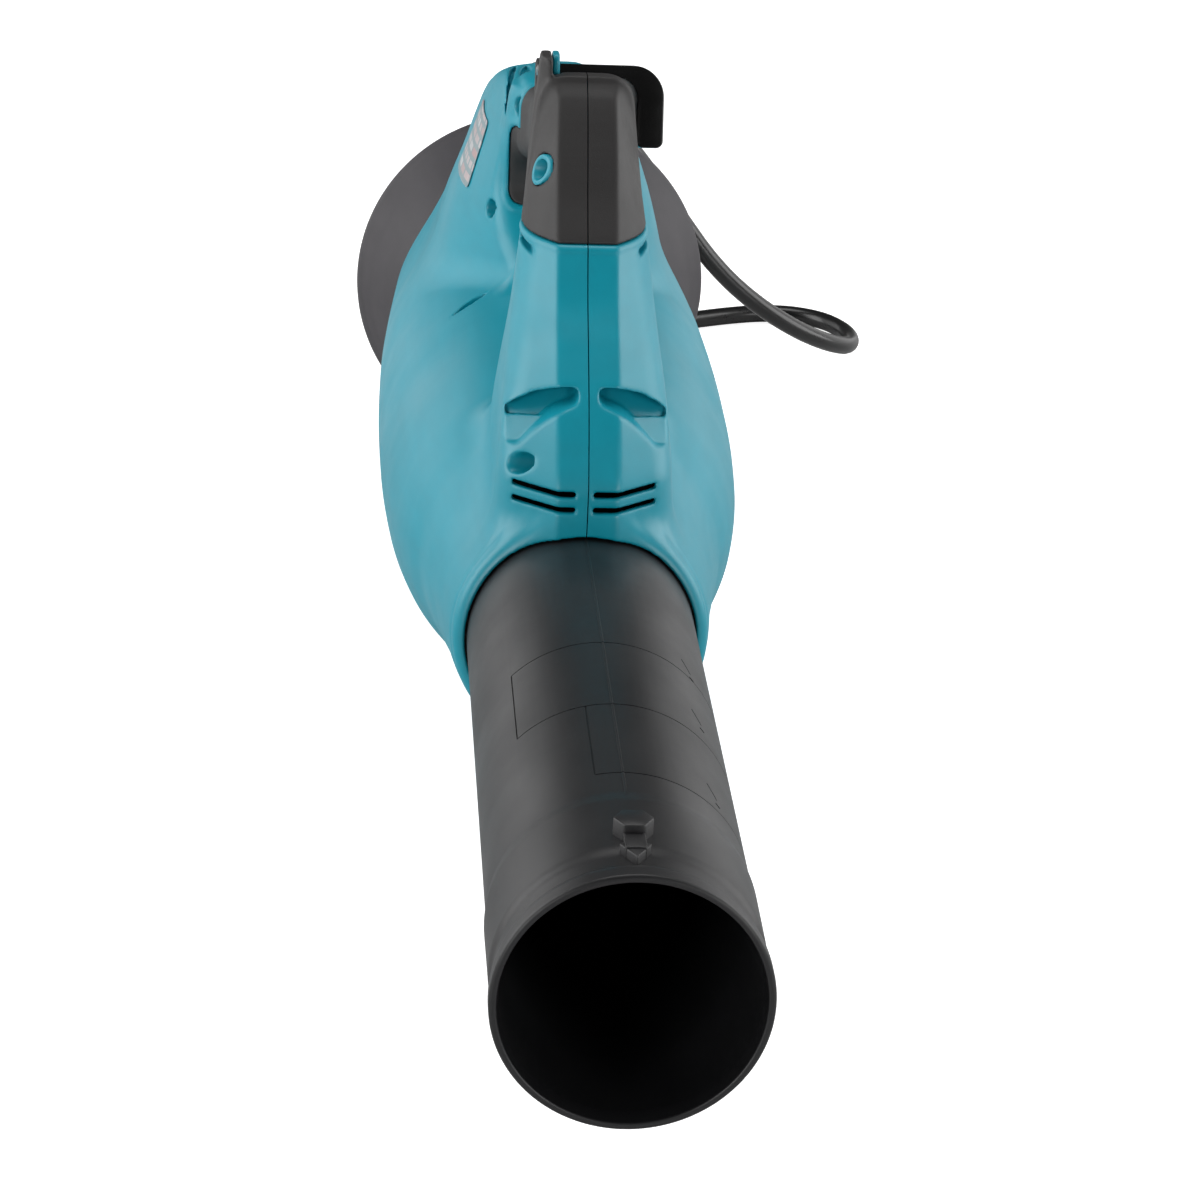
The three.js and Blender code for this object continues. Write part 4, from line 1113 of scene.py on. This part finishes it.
def make_rim():
    """The teal rim of the screw well on the handle, trimmed flush with the overmould."""
    station, height = SCREWS["housing_screw_strut"][:2]
    outer_end, inner_end = -30.0, -14.0
    points, faces = [], []
    steps = 64
    sections = [
        (WELL_RADIUS + 0.05, inner_end), (RIM_RADIUS, inner_end), (RIM_RADIUS, outer_end),
        (RIM_RADIUS - 0.5, outer_end - 0.4), (WELL_RADIUS + 0.5, outer_end - 0.4),
        (WELL_RADIUS + 0.05, outer_end),
    ]
    for radius, end in sections:
        for i in range(steps):
            a = 2 * math.pi * i / steps
            y, z = station + radius * math.cos(a), height + radius * math.sin(a)
            x = inner_end if end == inner_end else surface_x(field, y, z) + end - outer_end
            points.append((x, y, z))
    count = len(sections)
    for s in range(count):
        for i in range(steps):
            a, b, step = s * steps, (s + 1) % count * steps, (i + 1) % steps
            faces.append([a + i, a + step, b + step, b + i])
    return fix_normals(mesh_object("strut_well_rim", points, faces))


finish_piece(make_rim(), "casing_teal", crease=50)


LABEL_PLACE = (603.0, 120.0)  # middle of the rating plate: station, height


def make_label():
    """A thin plate with rounded corners, pressed onto the casing's right flank."""
    length, height, corner = 42.0, 32.0, 3.0
    columns, rows = 36, 26
    points = []
    for i in range(columns + 1):
        for j in range(rows + 1):
            u, v = (i / columns - 0.5) * length, (j / rows - 0.5) * height
            over_u, over_v = abs(u) - length / 2 + corner, abs(v) - height / 2 + corner
            reach = math.hypot(over_u, over_v)
            if over_u > 0 and over_v > 0 and reach > corner:
                u -= math.copysign(over_u * (1 - corner / reach), u)
                v -= math.copysign(over_v * (1 - corner / reach), v)
            points.append((-100, LABEL_PLACE[0] + u, LABEL_PLACE[1] + v))
    across = rows + 1
    corners = [i * across + j for i in range(columns) for j in range(rows)]
    faces = [[a, a + across, a + across + 1, a + 1] for a in corners]
    label = mesh_object("rating_label", points, faces)
    apply(label, "SHRINKWRAP", target=bpy.data.objects["right_casing"], wrap_method="PROJECT",
          use_project_x=True, use_positive_direction=True, use_negative_direction=False)
    for v in label.data.vertices:
        v.co.x -= 0.0005
    apply(label, "SOLIDIFY", thickness=0.0004, offset=0)
    return bevelled(fix_normals(label), 0.12, 2, 50)


finish_piece(make_label(), "label", replaces=["rating_plate"])

# ---- floor, world and lights
floor_mesh = bpy.data.meshes.new("floor")
floor_mesh.from_pydata([(-9, -9, 0), (9, -9, 0), (9, 9, 0), (-9, 9, 0)], [], [(0, 1, 2, 3)])
floor = add_object("floor", floor_mesh)
floor.location.z = -0.0005


def paper():
    """White paper that looks bright to the camera and throws little light back up."""
    s = Shader("floor_paper", (0.8, 0.8, 0.8), 0.9)
    s.tint(s.noise(3, 2), 0.97, 1.0)
    fill(s.bsdf, Emission_Color=(1, 1, 1, 1))
    path = s.node("ShaderNodeLightPath")
    glow = s.ranged(path.outputs["Is Camera Ray"], 0.0, 0.9, 0, 1)
    s.link(glow, s.bsdf.inputs["Emission Strength"])
    return s.material


floor_mesh.materials.append(paper())

world = bpy.data.worlds.new("world")
world.use_nodes = True
fill(world.node_tree.nodes["Background"], Color=(1, 1, 1, 1), Strength=0.08)
bpy.context.scene.world = world


def softbox(name, place, target, width, height, power):
    data = bpy.data.lights.new(name, "AREA")
    data.shape = "RECTANGLE"
    data.size, data.size_y = width, height
    data.energy = power
    lamp = add_object(name, data)
    lamp.location = place
    lamp.rotation_euler = (Vector(target) - Vector(place)).to_track_quat("-Z", "Y").to_euler()


softbox("left_softbox", (-1.7, 0.2, 0.75), (0, 0, 0.1), 1.2, 2.0, 30)
softbox("right_softbox", (1.7, 0.3, 0.75), (0, 0, 0.1), 1.2, 2.0, 28)
softbox("rear_left_softbox", (-1.35, 1.6, 0.5), (0, 0.1, 0.1), 1.4, 1.2, 6)
softbox("rear_right_softbox", (1.35, 1.6, 0.5), (0, 0.1, 0.1), 1.4, 1.2, 5.5)
softbox("top_softbox", (0, 0.5, 2.3), (0, 0, 0.1), 1.4, 1.0, 15)
softbox("front_left_softbox", (-1.5, -1.9, 0.5), (0, -0.1, 0.1), 1.0, 0.9, 19)
softbox("front_right_softbox", (1.5, -1.9, 0.5), (0, -0.1, 0.1), 1.0, 0.9, 18)
bpy.context.scene.view_settings.view_transform = "Standard"
